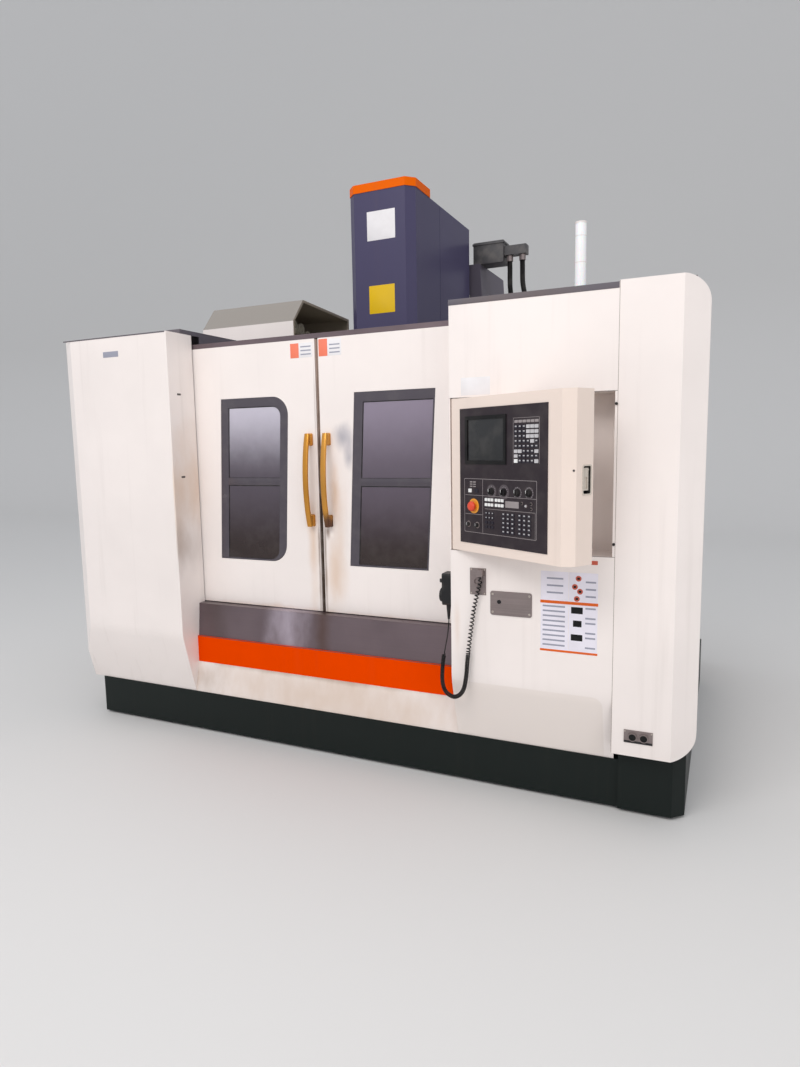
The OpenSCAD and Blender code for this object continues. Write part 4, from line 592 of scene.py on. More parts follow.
sticker_orange = grain("sticker_orange", (222, 96, 24), specular=0.2, Roughness=0.4, Dust=0.08)
sticker_yellow = grain("sticker_yellow", (226, 184, 0), specular=0.2, Roughness=0.4, Dust=0.03)
sticker_salmon = grain("sticker_salmon", (240, 128, 100), specular=0.2, Roughness=0.4, Dust=0.08)
box_grey = grain("box_grey", (62, 60, 62), Roughness=0.45, Dust=0.3)
# Line colours for painted shadow lines at the sheets' joints, and for holes drawn as painted
# shade.
soft_shadow_line = grain("soft_shadow_line", (150, 138, 130), Roughness=0.6, Depth=0.02, Dust=0.2)
dark_line = grain("painted_shadow_line", (70, 62, 58), Roughness=0.6, Depth=0.02, Dust=0.2)
print("materials:", len(bpy.data.materials))

# %% [markdown]
# ## Door paint with hand grime, and painted light
# People grab the doors beside the handles, so a brown film lies round them and runs down, and
# grime lines the joint. Some patches are painted light: a shadow beside the right handle, shade
# and a warm reflection where the left front sheet turns into the opening, shade under the
# orange band and a reflection on the apron. Each patch is soft: 1 minus the distance from a
# place, in metres, over the patch's size, broken up by noise.

# %% Stains and painted light


def soft_patch(n, axes, wobble, x, z, size_x, size_z, amount):
    """A soft patch about (x, z): ramp of 1 - sqrt(((X-x)/sx)^2 + ((Z-z)/sz)^2), plus noise."""
    dx = n.math("DIVIDE", n.math("SUBTRACT", axes["X"], x), size_x)
    dz = n.math("DIVIDE", n.math("SUBTRACT", axes["Z"], z), size_z)
    inside = n.math("SUBTRACT", n.math("ADD", 1.0, n.math("MULTIPLY", wobble, 0.9)),
                    n.distance(dx, dz))
    return n.math("MULTIPLY", n.ramp(inside, 0.35, 1.1), amount)


def opened(mat):
    """What another coat needs: the material's nodes, the place, and the place's X, Y and Z."""
    n = Nodes(mat.node_tree)
    place = n.place()
    return n, place, n.axes(place)


def lay(n, mat, share, color):
    """Mixes a colour over the one that the material had, by a share from 0 to 1."""
    socket = shader_of(mat).inputs["Base Color"]
    n.give(socket, n.mix(share, socket.links[0].from_socket, color))


def patched(mat, patches):
    """Lays soft patches over a material: (x, z, size_x, size_z, amount, color), in metres."""
    n, place, axes = opened(mat)
    wobble = n.math("SUBTRACT", n.noise(place, 9.0, 6.0, stretch=(1, 1, 0.5)), 0.5)
    for *patch, overlay in patches:
        lay(n, mat, soft_patch(n, axes, wobble, *patch), overlay)
    return mat


def fade(mat, z_from, z_to, color, wobble):
    """Turns a material's colour into another between two heights, in metres. Noise breaks
    the edge up by the wobble."""
    n, place, axes = opened(mat)
    shift = n.math("MULTIPLY", n.math("SUBTRACT", n.noise(place, 14.0, 5.0), 0.5), wobble)
    lay(n, mat, n.ramp(n.math("ADD", axes["Z"], shift), z_from, z_to), color)
    return mat


def sheet_paint(name, grime, foot, patches=()):
    """Ivory paint for one sheet, with its own patches of grime and painted light."""
    return patched(sheet(name, IVORY, Grime=grime, Foot=foot, **WHITE_COAT), patches)


BROWN, TAN, SOOT = linear(96, 64, 40), linear(216, 184, 156), linear(158, 156, 166)
left_door_paint = sheet_paint("left_door_paint", 0.4, 0.8, [
    (-0.170, 1.02, 0.075, 0.60, 0.8, TAN), (-0.137, 0.95, 0.016, 0.75, 0.75, BROWN),
    (-0.137, 1.7, 0.008, 0.6, 0.35, BROWN), (-0.50, 0.68, 0.9, 0.05, 0.45, TAN)])
right_door_paint = sheet_paint("right_door_paint", 0.4, 0.8, [
    (0.010, 1.545, 0.11, 0.14, 0.8, SOOT), (0.045, 1.45, 0.07, 0.12, 0.7, SOOT),
    # The tan patch at x -0.04, z 1.28, right of the handle, is the handle's painted shadow.
    (-0.04, 1.28, 0.065, 0.30, 0.75, TAN), (-0.085, 1.09, 0.032, 0.08, 0.9, BROWN),
    (-0.060, 1.075, 0.026, 0.036, 1.0, linear(252, 244, 238)),
    (-0.102, 0.95, 0.016, 0.75, 0.75, BROWN), (-0.06, 0.90, 0.08, 0.5, 0.45, TAN),
    (0.20, 0.68, 0.9, 0.05, 0.4, TAN), (-0.02, 1.0, 0.10, 0.8, 0.45, TAN)])
# The tan and brown strips at x = -0.870, where the sheet turns into the door opening, are painted
# shade and a painted warm reflection.
left_front_paint = sheet_paint("left_front_paint", 0.5, 0.5, [
    (-0.870, 1.30, 0.018, 0.60, 0.6, TAN), (-0.870, 1.00, 0.010, 0.30, 0.3, BROWN)])
sill_paint = sheet_paint("sill_paint", 0.5, 0.4, [
    (-0.1, 0.28, 2.4, 0.50, 0.9, linear(216, 196, 180)),
    (-0.80, 0.28, 0.30, 0.30, 0.5, linear(170, 150, 132)),
    # The thin darker line at z 0.366, just under the orange band, is painted shade with some
    # grime.
    (-0.2, 0.366, 1.5, 0.030, 0.6, linear(176, 152, 134))])
# On the apron the pale lilac patch is a painted reflection; the two dark patches make it darker in
# places.
patched(apron, [(-0.30, 0.62, 0.26, 0.9, 0.85, linear(196, 184, 196)),
                (-0.10, 0.62, 0.11, 0.9, 0.75, linear(92, 70, 62)),
                (-0.75, 0.60, 0.22, 0.9, 0.5, linear(84, 72, 68))])
fade(seal_bronze, 1.2, 1.9, linear(158, 136, 124), 0.5)
bronze_worn = fade(grain("worn_bronze", (208, 148, 62), **WORN_BRONZE), 1.20, 1.13,
                   linear(96, 64, 46), 0.10)

# The lower right sheet is painted a shade greyer below its crease, as painted shade on its
# downward bevel. The painted shade ends in a rounded corner: with (a, b) the way past the
# corner's centre, it reaches as far as sqrt(a^2 + b^2) < CORNER.
CORNER, SHADE_X, SHADE_Z = 0.045, 1.268, 0.492
right_low_paint = sheet_paint("right_low_paint", 0.3, 0.3, [
    (0.655, 0.72, 0.035, 0.32, 0.3, TAN)])
n, place, axes = opened(right_low_paint)
a = n.math("MAXIMUM", n.math("SUBTRACT", axes["X"], SHADE_X - CORNER), 0.0)
b = n.math("MAXIMUM", n.math("SUBTRACT", axes["Z"], SHADE_Z - CORNER), 0.0)
lay(n, right_low_paint, n.ramp(n.math("SUBTRACT", CORNER, n.distance(a, b)), 0.0, 0.007),
    linear(234, 224, 217))
print("stained paints ready")

# %% [markdown]
# ## Paint of the magazine hood
# The hood's sloping top is painted grey as painted shade, and its hollow is painted a darker
# brownish tan, also painted shade. A point is in the hollow if it lies behind the front, below
# the top and inside the slope by more than a millimetre.

# %% Hood paint
HOOD_BACK, HOOD_BEND, HOOD_TOP = 820.0, 2239.0, 2376.0
RISE = HOOD_TOP - HOOD_BEND
RUN = 0.84 * RISE
# Above the bend the paint turns grey: painted shade on the sloping top.
hood_paint = fade(sheet_paint("hood_paint", 0.4, 0.0), HOOD_BEND / 1000 - 0.001,
                  HOOD_BEND / 1000 + 0.001, linear(146, 139, 131), 0.0)
n, place, axes = opened(hood_paint)
behind = n.math("SUBTRACT", axes["Y"], (HOOD_BACK + FRONT_Y) / 1000)
below = n.math("SUBTRACT", HOOD_TOP / 1000, axes["Z"])
under = n.math("ADD", n.math("MULTIPLY", behind, RISE / RUN), below)
under = n.math("MULTIPLY", n.math("SUBTRACT", under, RISE / 1000), 0.64)
hollow = n.math("MINIMUM", n.math("MINIMUM", behind, below), under)
# The hollow's darker brownish tan is painted shade.
lay(n, hood_paint, n.ramp(hollow, 0.0010, 0.0020), linear(168, 156, 138))
print("hood paint ready")

# %% [markdown]
# ## Glass, screen and lamp
# The panes are dark tinted glass: most light bounces off, a little passes. Each pane's colour
# turns lighter in two steps towards its top, a painted reflection of the sky. The lamp's milky
# tube lets light glow through it.

# %% Glass
TINTED = {"Transmission Weight": 0.15, "IOR": 1.5}
MILKY = {"Subsurface Weight": 0.3, "Emission Color": (1, 1, 1, 1), "Emission Strength": 0.12}
panes = {}
for side, middle, light in (("left", (88, 80, 90), (210, 205, 218)),
                            ("right", (100, 90, 102), (150, 139, 156))):
    pane = grain(f"{side}_pane", (50, 37, 35), specular=0.3, coat=0.3, more=TINTED,
                 Roughness=0.07, Depth=0.01, Dust=0.05)
    # Painted reflection: the pane turns to the middle tone between 0.96 and 1.34 m, and to the
    # light one between 1.34 and 1.74 m.
    pane = fade(pane, 0.96, 1.34, linear(*middle), 0.05)
    panes[side] = fade(pane, 1.34, 1.74, linear(*light), 0.05)
frame_print = grain("window_print", (74, 68, 76), specular=0.4, coat=0.3, Roughness=0.24,
                    Depth=0.02, Dust=0.06)
screen_glass = grain("screen_glass", (34, 35, 36), specular=0.3, coat=0.2, Roughness=0.2,
                     Depth=0.01, Dust=0.08)
milky = grain("milky_tube", (240, 240, 240), more=MILKY, Roughness=0.3, Depth=0.02, Dust=0.05)
print("glass ready")

# %% [markdown]
# ## Windows
# A printed band runs round each pane, with a rail across it. The pane lies a few millimetres
# behind the band, and a thin black strip round its edge is the painted shadow line of that
# recess. Both windows lean: x grows with height.

# %% Windows
WIN_W, WIN_LOW, WIN_HIGH, LEAN = 412.0, 925.0, 1755.0, 44.0
BAND_LEFT, BAND_TOP, BAND_LOW, GAP = 48, 46, 9, 1.2
RAIL_LOW, RAIL_HIGH = 1314, 1351


def leaning(outline, x_top):
    """Shears a window outline: x = x_top + x - LEAN * (WIN_HIGH - z) / height."""
    x = outline[:, 0] + x_top - LEAN * (WIN_HIGH - outline[:, 1]) / (WIN_HIGH - WIN_LOW)
    return np.column_stack([x, outline[:, 1]])


def window(name, body, x_top, r_outer, r_inner, right):
    """The band, rail and painted shadow strips of a window. At its right side the band is `right`
    mm wide.
    """
    mesh, band_face, side = Mesh(), facing(194), WIN_W - right
    outer = leaning(box_outline(GAP, WIN_LOW + GAP, WIN_W - GAP, WIN_HIGH - GAP,
                                (r_outer, 2, 2, r_outer)), x_top)
    inner = leaning(box_outline(BAND_LEFT, WIN_LOW + BAND_LOW, side, WIN_HIGH - BAND_TOP,
                                (r_inner, 3, 3, r_inner)), x_top)
    ring_shape(mesh, band_face, 0, outer, inner, 3.2, edge=0.3)
    rail = leaning(np.array([(BAND_LEFT - 1, RAIL_LOW), (side + 1, RAIL_LOW),
                             (side + 1, RAIL_HIGH), (BAND_LEFT - 1, RAIL_HIGH)]), x_top)
    pad(mesh, band_face, rail.mean(0), rail - rail.mean(0), 3.1, edge=0.3)
    # Black strips round the upper and lower pane: painted shadow lines of the recess.
    for z0, z1, r0, r1 in ((RAIL_HIGH, WIN_HIGH - BAND_TOP, 3, r_inner),
                           (WIN_LOW + BAND_LOW, RAIL_LOW, r_inner, 3)):
        a = leaning(box_outline(BAND_LEFT, z0, side, z1, (r1, 3, 3, r0)), x_top)
        b = leaning(box_outline(BAND_LEFT + 4, z0 + 1.5, side - 1.5, z1 - 4,
                                (max(r1 - 3, 2), 2, 2, max(r0 - 3, 2))), x_top)
        ring_shape(mesh, band_face, 0, a, b, 1.1, edge=0.2, slot=1)
    mesh.build(name, body, [frame_print, rubber])


window("left_window_band", "left_door", -700, 88, 50, 46)
window("right_window_band", "right_door", 79, 2, 3, 8)

# %% [markdown]
# ## Door seals
# Two rubber lips close the joint between the doors. They are tan above, where they stay dry,
# and turn dark and rusty towards the wet lower end.

# %% Door seals
for name, body, x in (("left_door_seal", "left_door", -125.2),
                      ("right_door_seal", "right_door", -114.8)):
    lip = Mesh()
    rows = np.array([(x, 198.5, z) for z in np.linspace(DOOR_LOW + 4, DOOR_HIGH - 3, 24)])
    sweep(lip, rows, rounded(9.2, 10.5, 4.2, 4), (1, 0, 0))
    lip.build(name, body, [seal_bronze])

# %% [markdown]
# ## Handles
# Each handle is a flat bow: at s from -1 to 1 along it, its outer side stands
# 34 + 28 * (1 - s^2) mm before the door. Its section is rounded and two feet carry it.

# %% Handles
HANDLE_Z, HANDLE_HALF, FOOT_OFF = 1341, 225.5, 198
for name, node, body, x, look in (
        ("left_bow_handle", "left_handle", "left_door", -170, bronze),
        ("right_bow_handle", "right_handle", "right_door", -70, bronze_worn)):
    grip = Mesh()
    s = np.linspace(-1, 1, 45)
    rows = np.column_stack([np.full(45, x), DOOR_Y - 34 - 28 * (1 - s * s) + 7.5,
                            HANDLE_Z + HANDLE_HALF * s])
    swell = 1 - 0.10 * np.abs(s[:, None, None]) ** 6
    sweep(grip, rows, rounded(28, 15, 6.0, 5)[None] * swell, (1, 0, 0))
    for z in (HANDLE_Z - FOOT_OFF, HANDLE_Z + FOOT_OFF):
        pad(grip, door, (x, z), rounded(27, 54, 6, 5), 31, edge=3, base=-0.1)
        pad(grip, door, (x, z), rounded(32, 60, 7, 5), 2.0, edge=0.8, base=-0.1)
    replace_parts(grip.build(name, body, [look]), node)

# %% [markdown]
# ## Operator panel
# Keys stand in rows on the dark film. A row is a height, a key height and one letter a
# column: l light, d dark, g grey, w white. Thin printed lines frame the groups.

# %% Operator panel: keys
KEY_SLOTS = {"d": 0, "l": 1, "w": 2, "g": 3}
KEY_MATERIALS = [key_dark, key_light, key_white, panel_line, key_mark]
KEY_TALL, FIELD_TALL = 2.6, 0.7
keys = Mesh()


def key_row(x0, x1, z, h, letters, gap=2.6, mark=False):
    """One row of keys between x0 and x1, centred on z. Grey ones are low fields, and a mark
    is a small light field on a dark key."""
    w = (x1 - x0 + gap) / len(letters)
    for i, letter in enumerate(letters):
        x = x0 + i * w + (w - gap) / 2
        tall = FIELD_TALL if letter == "g" else KEY_TALL
        pad(keys, panel, (x, z), rounded(w - gap, h, 1.6, 3), tall, edge=0.5, base=-0.1,
            slot=KEY_SLOTS[letter], dish=0 if letter == "g" else 0.3)
        if mark and letter == "d":
            pad(keys, panel, (x, z + h * 0.12), rounded((w - gap) * 0.5, h * 0.38, 0.8, 2),
                2.5, edge=0.15, base=2.0, slot=4)


for z, h, letters in ((1583, 10, "gggggg"), (1563.5, 13, "dddlll"), (1545.5, 13, "dddlll"),
                      (1528, 13, "dddlll"), (1510, 13, "ddddld"), (1491.5, 12, "dddddd"),
                      (1473, 13, "lldddl"), (1455.5, 12, "lddddd"), (1437, 14, "wddddl")):
    key_row(380, 503, z, h, letters, mark=True)
for z in (1284, 1264):
    key_row(217, 265, z, 12, "www", gap=3.6)
    key_row(275, 323, z, 12, "www", gap=3.6)
for i in range(5):
    key_row(314, 381, 1231 - 17 * i, 13, "ddd", gap=7, mark=True)
    key_row(401, 468, 1231 - 17 * i, 13, "ddd", gap=7, mark=True)
for i in range(4):
    key_row(219, 267, 1230 - 18 * i, 11, "ddd", gap=6, mark=i < 2)
for z, h in ((1351, 5), (1342, 4), (1333, 4)):
    key_row(126, 162, z, h, "gg", gap=4)
key_row(119, 176, 1316, 15, "wd", gap=20)
pad(keys, panel, (368, 1271), rounded(72, 25, 1.5, 3), 0.5, edge=0.2, base=-0.1, slot=3)
print("keys:", keys.count, "points")

# %% Operator panel: lines, rings and small switches
prints = Mesh()
outline = rounded(404, 219, 5, 4)
ring_shape(prints, panel, (294, 1255.5), outline, outline * [1 - 3.4 / 404, 1 - 3.4 / 219],
           0.35, edge=0.1)
for x, z, w, h in ((203, 1255.5, 1.6, 214), (296, 1298, 396, 1.6), (150, 1221, 104, 1.6),
                   (353, 1247, 274, 1.6), (489, 1197, 1.4, 96), (374, 1511, 1.4, 168),
                   (507, 1511, 1.4, 168), (440, 1596, 134, 1.2)):
    pad(prints, panel, (x, z), rounded(w, h, 0.5, 1), 0.3, edge=0.1)
for (x, z), wide in zip(KNOBS.values(), (27, 29, 22, 23)):
    ring_shape(prints, panel, (x, z), disc(wide, 36), disc(15.5, 36), 0.25, edge=0.1, slot=5)
    for i in range(11):
        a = math.radians(225 - 27 * i)
        tick = rounded(4.2 if i % 5 == 0 else 2.8, 1.3, 0.3, 1)
        c, s = math.cos(a), math.sin(a)
        tick = tick @ np.array([[c, s], [-s, c]])
        pad(prints, panel, (x + 19.5 * c, z + 19.5 * s), tick, 0.35, edge=0.1, slot=1)
for x, z in ((118, 1179), (171, 1178)):
    pad(prints, panel, (x, z), disc(13, 24), 1.2, edge=0.4, slot=2)
    pad(prints, panel, (x, z), disc(9, 24), 13, edge=1.2, slot=3)
    pad(prints, panel, (x, z + 2), rounded(1.8, 11, 0.6, 2), 13.5, edge=0.2, base=12.5, slot=1)
for x, z, slot in ((420, 1279, 3), (442, 1270, 1), (468, 1279, 3), (468, 1260, 3)):
    pad(prints, panel, (x, z), disc(6.5, 18), 1.0, edge=0.3, slot=2)
    pad(prints, panel, (x, z), disc(4.2, 18), 5, edge=1.0, slot=slot)
ring_shape(prints, panel, STOP, disc(30, 40), disc(21, 40), 1.6, edge=0.5, slot=4)
pad(prints, panel, STOP, disc(21.5, 40), 0.2, edge=0.1, slot=4)
prints.build("panel_print", "operator_box",
             [panel_line, key_light, plate_metal, black, yellow, scale_grey])
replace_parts(keys.build("panel_keys", "operator_box", KEY_MATERIALS), "key_fields")

# %% Operator panel: screen glass, pointers
SCREEN_X, SCREEN_Z, SCREEN_W, SCREEN_H, CROWN = 218.5, 1518, 208.4, 161.4, 1.6
COLS = 17
cover = Mesh()
u = np.linspace(-1, 1, COLS)
grid = [(SCREEN_X + SCREEN_W / 2 * a, SCREEN_Z + SCREEN_H / 2 * b,
         CROWN * ((1 - a * a) * (1 - b * b) - 0.5)) for b in u for a in u]
starts = [i * COLS + j for i in range(COLS - 1) for j in range(COLS - 1)]
cover.add(panel.place(grid), [(k, k + 1, k + COLS + 1, k + COLS) for k in starts])
cover.build("screen_glass", "operator_box", [screen_glass])
for body, (x, z) in KNOBS.items():
    line = Mesh()
    pad(line, panel, (x, z + 5), rounded(1.6, 11, 0.5, 2), 18.9, edge=0.2, base=18.0)
    line.build(f"{body}_pointer", body, [key_white])

# %% [markdown]
# ## Latch frame and lock
# The latch lies in a bright pressed frame on the box's right side. The pocket inside is lined
# with a dark sheet, painted shade. A small lock sits above it on the box's chamfer.

# %% Latch
LATCH = (91, 1369.5)
box_side = Face(on_box(BOX_W - BOX_SKIN, BOX_SKIN), -panel_out)
bezel = Mesh()
outer = rounded(50, 109, 7, 5)
ring_shape(bezel, box_side, LATCH, outer, outer * [39.0 / 50, 98.0 / 109], 2.2, edge=0.8)
# A thin dark lining on the pocket's walls and floor is painted shade.
shade_liner = rounded(39.7, 98.7, 1, 1)
ring_shape(bezel, box_side, LATCH, shade_liner, shade_liner * [38.7 / 39.7, 97.7 / 98.7], -0.2, edge=0.1,
           base=-27.8, slot=1)
pad(bezel, box_side, LATCH, shade_liner, -27.3, edge=0.1, base=-27.9, slot=1)
bezel.build("latch_frame", "operator_box", [zinc, rubber])

chamfer = Face(on_box(BOX_W - BOX_SKIN - CHAMFER, BOX_SKIN),
               (panel_right - panel_out) / np.linalg.norm(panel_right - panel_out))
lock = Mesh()
pad(lock, chamfer, (42, 1404), disc(4.5, 20), 0.8, edge=0.3)
pad(lock, chamfer, (42, 1404), disc(2.6, 16), 1.0, edge=0.2, base=0.6, slot=1)
lock.build("box_lock", "operator_box", [plate_metal, black])

# %% [markdown]
# ## Plates, screws and outlets
# Screws hold the plates on the right cabinet. The lead's socket has a rim, the port is a dark
# disc, and each outlet is a ringed disc with two slots.

# %% Plates


def screw(mesh, face, x, z, r):
    """A flat pan head, with a cross recess drawn as two dark bars of painted shade."""
    pad(mesh, face, (x, z), disc(r, 16), 1.6, edge=0.8, base=-0.1)
    for w, h in ((r * 1.1, r * 0.26), (r * 0.26, r * 1.1)):
        pad(mesh, face, (x, z), rounded(w, h, 0.2, 1), 1.65, edge=0.04, base=1.28, slot=1)


plate_face = facing(-3)
outlet_face = facing(-10)
trim = Mesh()
for x0, x1, z0, z1, r in ((814, 970, 806, 882, 4.2), (721, 779, 880, 981, 3.2)):
    for x, z in ((x0, z0), (x1, z0), (x0, z1), (x1, z1)):
        screw(trim, plate_face, x, z, r)
pad(trim, plate_face, (842, 850), disc(8.6, 20), 0.2, edge=0.1, base=-2.5, slot=1)
pad(trim, plate_face, (749, 932), disc(20, 28), 3.5, edge=1.0, slot=2)
ring_shape(trim, plate_face, (749, 932), disc(17, 28), disc(12, 28), 9, edge=1.0, slot=2)
for x in (1383, 1425):
    pad(trim, outlet_face, (x, 352), disc(14.5, 24), 0.5, edge=0.2, slot=3)
    ring_shape(trim, outlet_face, (x, 352), disc(16.6, 24), disc(13.5, 24), 2.0, edge=0.6, slot=2)
    # The slots are drawn as dark bars, painted shade.
    for dx in (-5, 5):
        pad(trim, facing(-10.5), (x + dx, 352), rounded(1.6, 7, 0.4, 1), 0.2, edge=0.05, slot=1)
# A black strip along the outlet plate's lower edge is painted shade.
pad(trim, plate_face, (1404, 331), rounded(106, 9, 1, 2), 0.5, edge=0.2, slot=1)
for x in (1354, 1454):
    screw(trim, plate_face, x, 372, 2.8)
trim.build("plate_trim", "base", [zinc, black, plate_metal, screen_rim])

# %% [markdown]
# ## Blank fields
# Where the machine carries notices, plain fields of colour keep their place. Thin bars and
# blocks stand for what is printed on them.

# %% Blank fields
fields = Mesh()
cover_face = facing(906)


def field(face, x0, z0, x1, z1, slot, high=0.35, mesh=fields, r=1.5):
    """A plain field of one colour between two corners."""
    mid = ((x0 + x1) / 2, (z0 + z1) / 2)
    pad(mesh, face, mid, rounded(x1 - x0, z1 - z0, r, 2), high, edge=0.12, slot=slot)


RED_DISCS = ((1166, 968), (1152, 934), (1172, 916), (1160, 886))
LINES_LEFT, LINES_RIGHT = (1024, 1114), (1194, 1234)
field(front, 680, 1701, 804, 1772, 0)
for x0, x1 in ((1016, 1127), (1129, 1241)):
    field(front, x0, 662, x1, 992, 1)
for z0, z1 in ((662, 671), (861, 873)):
    field(front, 1014, z0, 1243, z1, 2, high=0.5)
for x, z, w, h in ((1161, 839, 46, 27), (1163, 785, 34, 26), (1161, 728, 46, 26)):
    field(front, x - w / 2, z - h / 2, x + w / 2, z + h / 2, 3, high=0.45)
for x, z in RED_DISCS:
    pad(fields, front, (x, z), disc(11.5, 24), 0.45, edge=0.1, slot=5)
    pad(fields, front, (x, z), rounded(11, 9, 2, 2), 0.5, edge=0.1, slot=3)
thin = [(x0, z + dz, x1) for z in (960, 931, 902)
        for x0, x1, dz in ((1040, 1106, 0), (*LINES_RIGHT, -8))]
for i in range(9):
    thin.append((LINES_LEFT[0], 846 - 20 * i, LINES_LEFT[1]))
    if i % 3 != 1:
        thin.append((LINES_RIGHT[0], 846 - 20 * i, LINES_RIGHT[1]))
for x0, z, x1 in thin:
    field(front, x0, z, x1, z + 7, 4, high=0.45, r=0.5)
field(front, 1213, 1026, 1239, 1042, 5)
field(front, -1299, 1984, -1193, 2013, 4)
fields.build("cabinet_fields", "base",
             [paper, paper_grey, sticker_orange, screen_rim, paper_line, sticker_red])
for name, body, x0, x1, z0, z1 in (("left_door_field", "left_door", -266, -142, 1932, 2001),
                                   ("right_door_field", "right_door", -106, 17, 1931, 2011)):
    mesh = Mesh()
    field(door, x0, z0, x1, z1, 0, mesh=mesh)
    field(door, x0, z0, x0 + 48, z1, 1, high=0.5, mesh=mesh)
    for z in (z0 + 12, z0 + 30, z0 + 48):
        field(door, x0 + 58, z, x1 - 8, z + 6, 2, high=0.45, mesh=mesh, r=0.5)
    mesh.build(name, body, [paper, sticker_salmon, paper_line])
mesh = Mesh()
field(cover_face, -197, 2643, -24, 2799, 0, mesh=mesh)
field(cover_face, -192, 2246, -33, 2399, 1, mesh=mesh)
mesh.build("cover_fields", "head", [paper, sticker_yellow])

# %% [markdown]
# ## Seams, bumpers and lips
# Dark hairlines mark the joints between neighbouring sheets; they are painted shadow lines,
# where one sheet stands before or over the next. Two rubber bumpers stand beside the bay, and
# the roofs show as dark lips on the sheets' upper edges.

# %% Seams
seams = Mesh()
# Painted shadow lines: a soft one beside the fairing's left edge, a dark one under the apron's lip
# on the orange band, and two along the bay's upper and lower edges.
pad(seams, front, (1302, 1181), rounded(1.8, 1818, 0.3, 1), 0.25, edge=0.1, slot=2)
pad(seams, facing(112.9), (-120, 508), rounded(1490, 2.4, 0.3, 1), 0.3, edge=0.1)
for z in (1692.5, 1059.5):
    pad(seams, front, (965, z), rounded(672, 1.6, 0.3, 1), 0.25, edge=0.1)
left_return = Face((OPENING_X, 0, 0), (0, 1, 0))
# Two dark pads on the left return stand for its holes: painted shade.
for z in (1781, 1361):
    pad(seams, left_return, (70, z), rounded(28, 10, 4, 3), 0.4, edge=0.1)
for z in (1644, 1110):
    pad(seams, front, (1297, z), disc(5.5, 18), 7, edge=1.5, slot=1)
for x, z, w, h in ((963, 2075, 674, 23), (-1230, 2085.5, 706, 6)):
    pad(seams, front, (x, z), rounded(w, h, 1, 2), 1.2, edge=0.4, slot=3)
seams.build("seams", "base", [dark_line, rubber, soft_shadow_line, roof])

# %% [markdown]
# ## Conduits
# Two corrugated hoses run from a junction box on the column down to the electrical cabinet.
# A hose's radius swings by a cosine of the way along it, one swing per rib.

# %% Conduits
pipes = Mesh()
HOSE_1 = [(325, 1960, 2760), (325, 1962, 2660), (325, 1975, 2520), (345, 2010, 2400),
          (420, 2070, 2300), (520, 2110, 2250), (590, 2120, 2190), (610, 2120, 2120),
          (610, 2120, 2070)]
HOSE_2 = [(410, 1960, 2760), (410, 1962, 2660), (412, 1975, 2540), (440, 2010, 2430),
          (520, 2080, 2340), (640, 2140, 2290), (712, 2150, 2200), (730, 2150, 2120),
          (730, 2150, 2070)]
RIB, HOSE_R, RIB_HIGH = 7.0, 16.4, 1.2
for route in (HOSE_1, HOSE_2):
    line = smooth_path(route, 24)
    far = np.arange(0, lengths(line)[-1], RIB / 4)
    r = HOSE_R - RIB_HIGH * np.cos(2 * np.pi * far / RIB)
    sweep(pipes, resample(line, far), disc(1.0, 20)[None] * r[:, None, None], (0, 1, 0))
    for z0, z1, big, steps in ((2050.2, 2064, 25, 24), (2064, 2084, 21, 6)):
        upright(pipes, *route[-1][:2], z0, z1, disc(big, steps), slot=1)
    upright(pipes, *route[0][:2], 2702, 2738, disc(22, 8), slot=1)

# The junction box, its manifold and its lid have rounded upright edges and a small rounding
# above.
level_face = Face((0, 0, 0), (1, 0, 0), (0, 1, 0))
for x0, y0, z0, x1, y1, z1, r in ((82, 1920, 2700.5, 292, 2060, 2841, 6),
                                  (292, 1930, 2740, 442, 2000, 2800, 5),
                                  (78, 1916, 2822, 296, 2064, 2834, 3)):
    shape = rounded(x1 - x0, y1 - y0, r, 4)
    shrink = r * 0.6 / np.abs(shape).max(0)
    middle = [(x0 + x1) / 2, (y0 + y1) / 2]
    pipes.rings([level_face.lay(shape * (1 - inset * shrink) + middle, z) for inset, z in
                 ((0, z0), (0, z1 - r * 0.6), (0.3, z1 - r * 0.2), (1, z1))], slot=2)
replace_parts(pipes.build("corrugated_conduits", "base", [rubber, plate_metal, box_grey]),
            "conduits")

# %% [markdown]
# ## Signal lamp
# A dark collar and thin rings part the milky tube into its sections.

# %% Lamp
rings = Mesh()
for z0, z1, r, slot in ((2100.2, 2108, 43, 0), (2190, 2198, 26.4, 0), (2316, 2319, 25.6, 1),
                        (2432, 2435, 25.6, 1), (2489, 2496, 26, 1)):
    upright(rings, 1040, 620, z0, z1, disc(r, 32), (1, 0, 0), slot)
rings.build("lamp_rings", "base", [box_grey, white])

# %% [markdown]
# ## Dressing the CAD nodes
# One table says which material each solid wears.

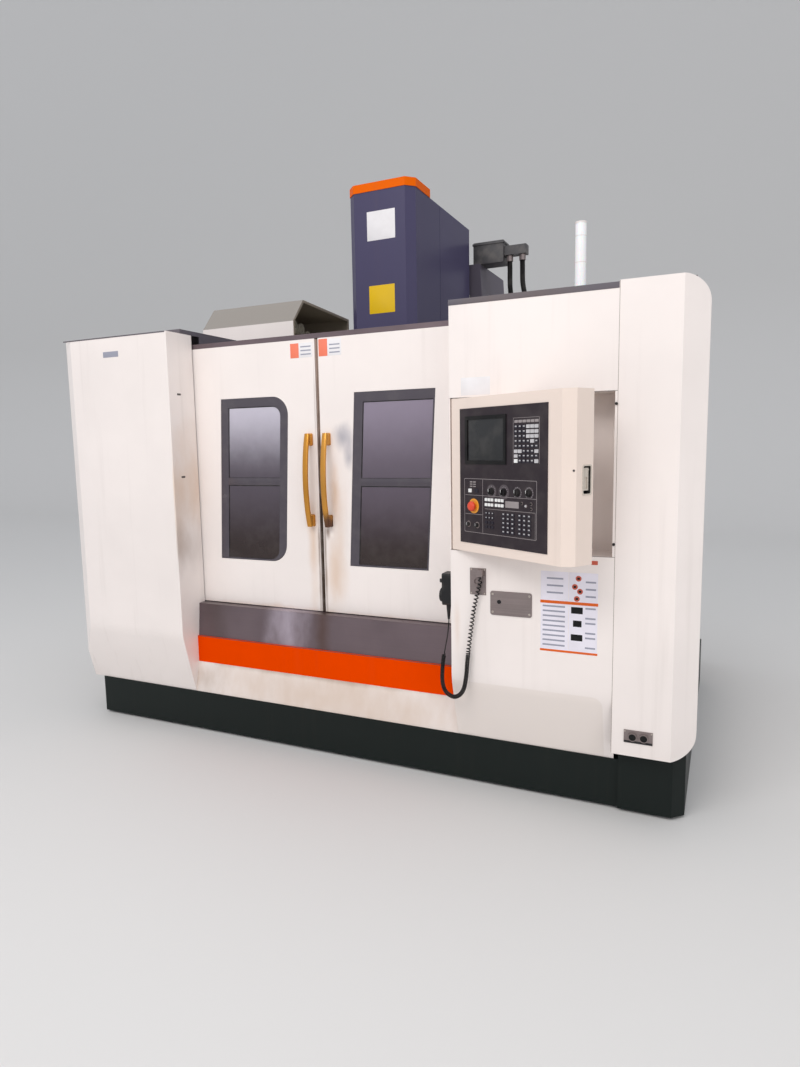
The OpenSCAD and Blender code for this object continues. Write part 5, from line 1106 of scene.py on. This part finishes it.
# %% Dress
DRESS = {
    white: "left_side_panel right_upper_panel pendant_bay right_fairing right_side_panel "
           "rear_panel electrical_cabinet cabinet_door",
    sill_paint: "sill_panel",
    hood_paint: "magazine_hood",
    left_front_paint: "left_front_panel",
    right_low_paint: "right_lower_panel",
    left_door_paint: "left_door",
    right_door_paint: "right_door",
    cream: "pendant_box",
    violet: "head_cover",
    roof: "cabinet_roofs",
    orange: "cover_cap",
    band: "orange_band",
    plinth: "base_skirt",
    casting: "bed saddle spindle_head changer_box",
    column_paint: "column",
    apron: "front_apron door_tracks",
    sheet_steel: "inner_enclosure way_cover_a way_cover_b",
    ground: "ways_and_screws levelling_feet spindle arm_shaft change_arm",
    table_iron: "table",
    plate_metal: "wall_plates",
    zinc: "pendant_latch",
    bronze: "left_handle right_handle",
    panes["left"]: "left_window",
    panes["right"]: "right_window",
    panel_film: "pendant_plate",
    screen_rim: "screen",
    key_dark: "key_fields",
    red: "stop_button main_switch",
    black: "mode_knob feed_knob rapid_knob speed_knob handwheel_unit handwheel_dial "
           "axis_selector step_selector",
    rubber: "conduits lead_straight lead_curly",
    pot: "tool_disc",
    milky: "signal_lamp",
}
bare = set(nodes)
for mat, names in DRESS.items():
    for name in names.split():
        nodes[name].data.materials.clear()
        nodes[name].data.materials.append(mat)
        bare.remove(name)
curve.materials.append(rubber)
print("dressed", len(nodes), "nodes, bare:", sorted(bare))

# %% [markdown]
# ## Floor, backdrop and light
# A pale floor bends up into a wall far behind. One broad soft light from the upper front left
# models the sheets, with a weaker one from the right and one from above.

# %% Stage
# The profile runs level, turns up in a quarter circle of 5 m radius and goes on as a wall.
REACH, WALL_Y, BEND, TOP = 60.0, 13.0, 5.0, 16.0
arc = np.linspace(0, math.pi / 2, 25)
profile = [(-REACH / 2, 0.0)] + [(WALL_Y - BEND + BEND * math.sin(a), BEND - BEND * math.cos(a))
                                 for a in arc] + [(WALL_Y, TOP)]
floor_mesh = bpy.data.meshes.new("floor")
points = [(x, y, z) for y, z in profile for x in (-REACH, REACH)]
quads = [(2 * i, 2 * i + 1, 2 * i + 3, 2 * i + 2) for i in range(len(profile) - 1)]
floor_mesh.from_pydata(points, [], quads)
floor_mesh.shade_smooth()
floor = show("floor", floor_mesh)
floor_mesh.materials.append(grain("floor_paint", (214, 213, 211), Roughness=0.7, Grain=30.0,
                                  Depth=0.02, Dust=0.0))

world = bpy.data.worlds.new("studio")
bpy.context.scene.world = world
world.use_nodes = True
sky = world.node_tree.nodes["Background"]
sky.inputs["Color"].default_value = (0.93, 0.95, 1.0, 1)
sky.inputs["Strength"].default_value = 0.8


def area_light(name, place, target, size, power, color):
    """An area light at a place, turned so that it looks at a target, both in frame metres."""
    data = bpy.data.lights.new(name, "AREA")
    data.shape = "RECTANGLE"
    data.size, data.size_y = size
    data.energy = power
    data.color = color
    aim = (Vector(target) - Vector(place)).to_track_quat("-Z", "Y").to_matrix().to_4x4()
    show(name, data).matrix_world = Matrix.Translation(place) @ aim


area_light("key", (-0.4, -5.4, 4.8), (0, -0.6, 1.2), (3.6, 2.4), 120, (1, 0.97, 0.95))
area_light("fill", (4.4, -4.0, 2.6), (0.4, -0.6, 1.2), (2.8, 2.2), 32, (1, 0.95, 0.9))
area_light("top", (0.4, 0.6, 6.2), (0, 0, 1), (4.5, 3.5), 50, (1, 1, 1))

# %% [markdown]
# The last cell sets the colour view to Standard.

# %% Finish
bpy.context.scene.view_settings.view_transform = "Standard"
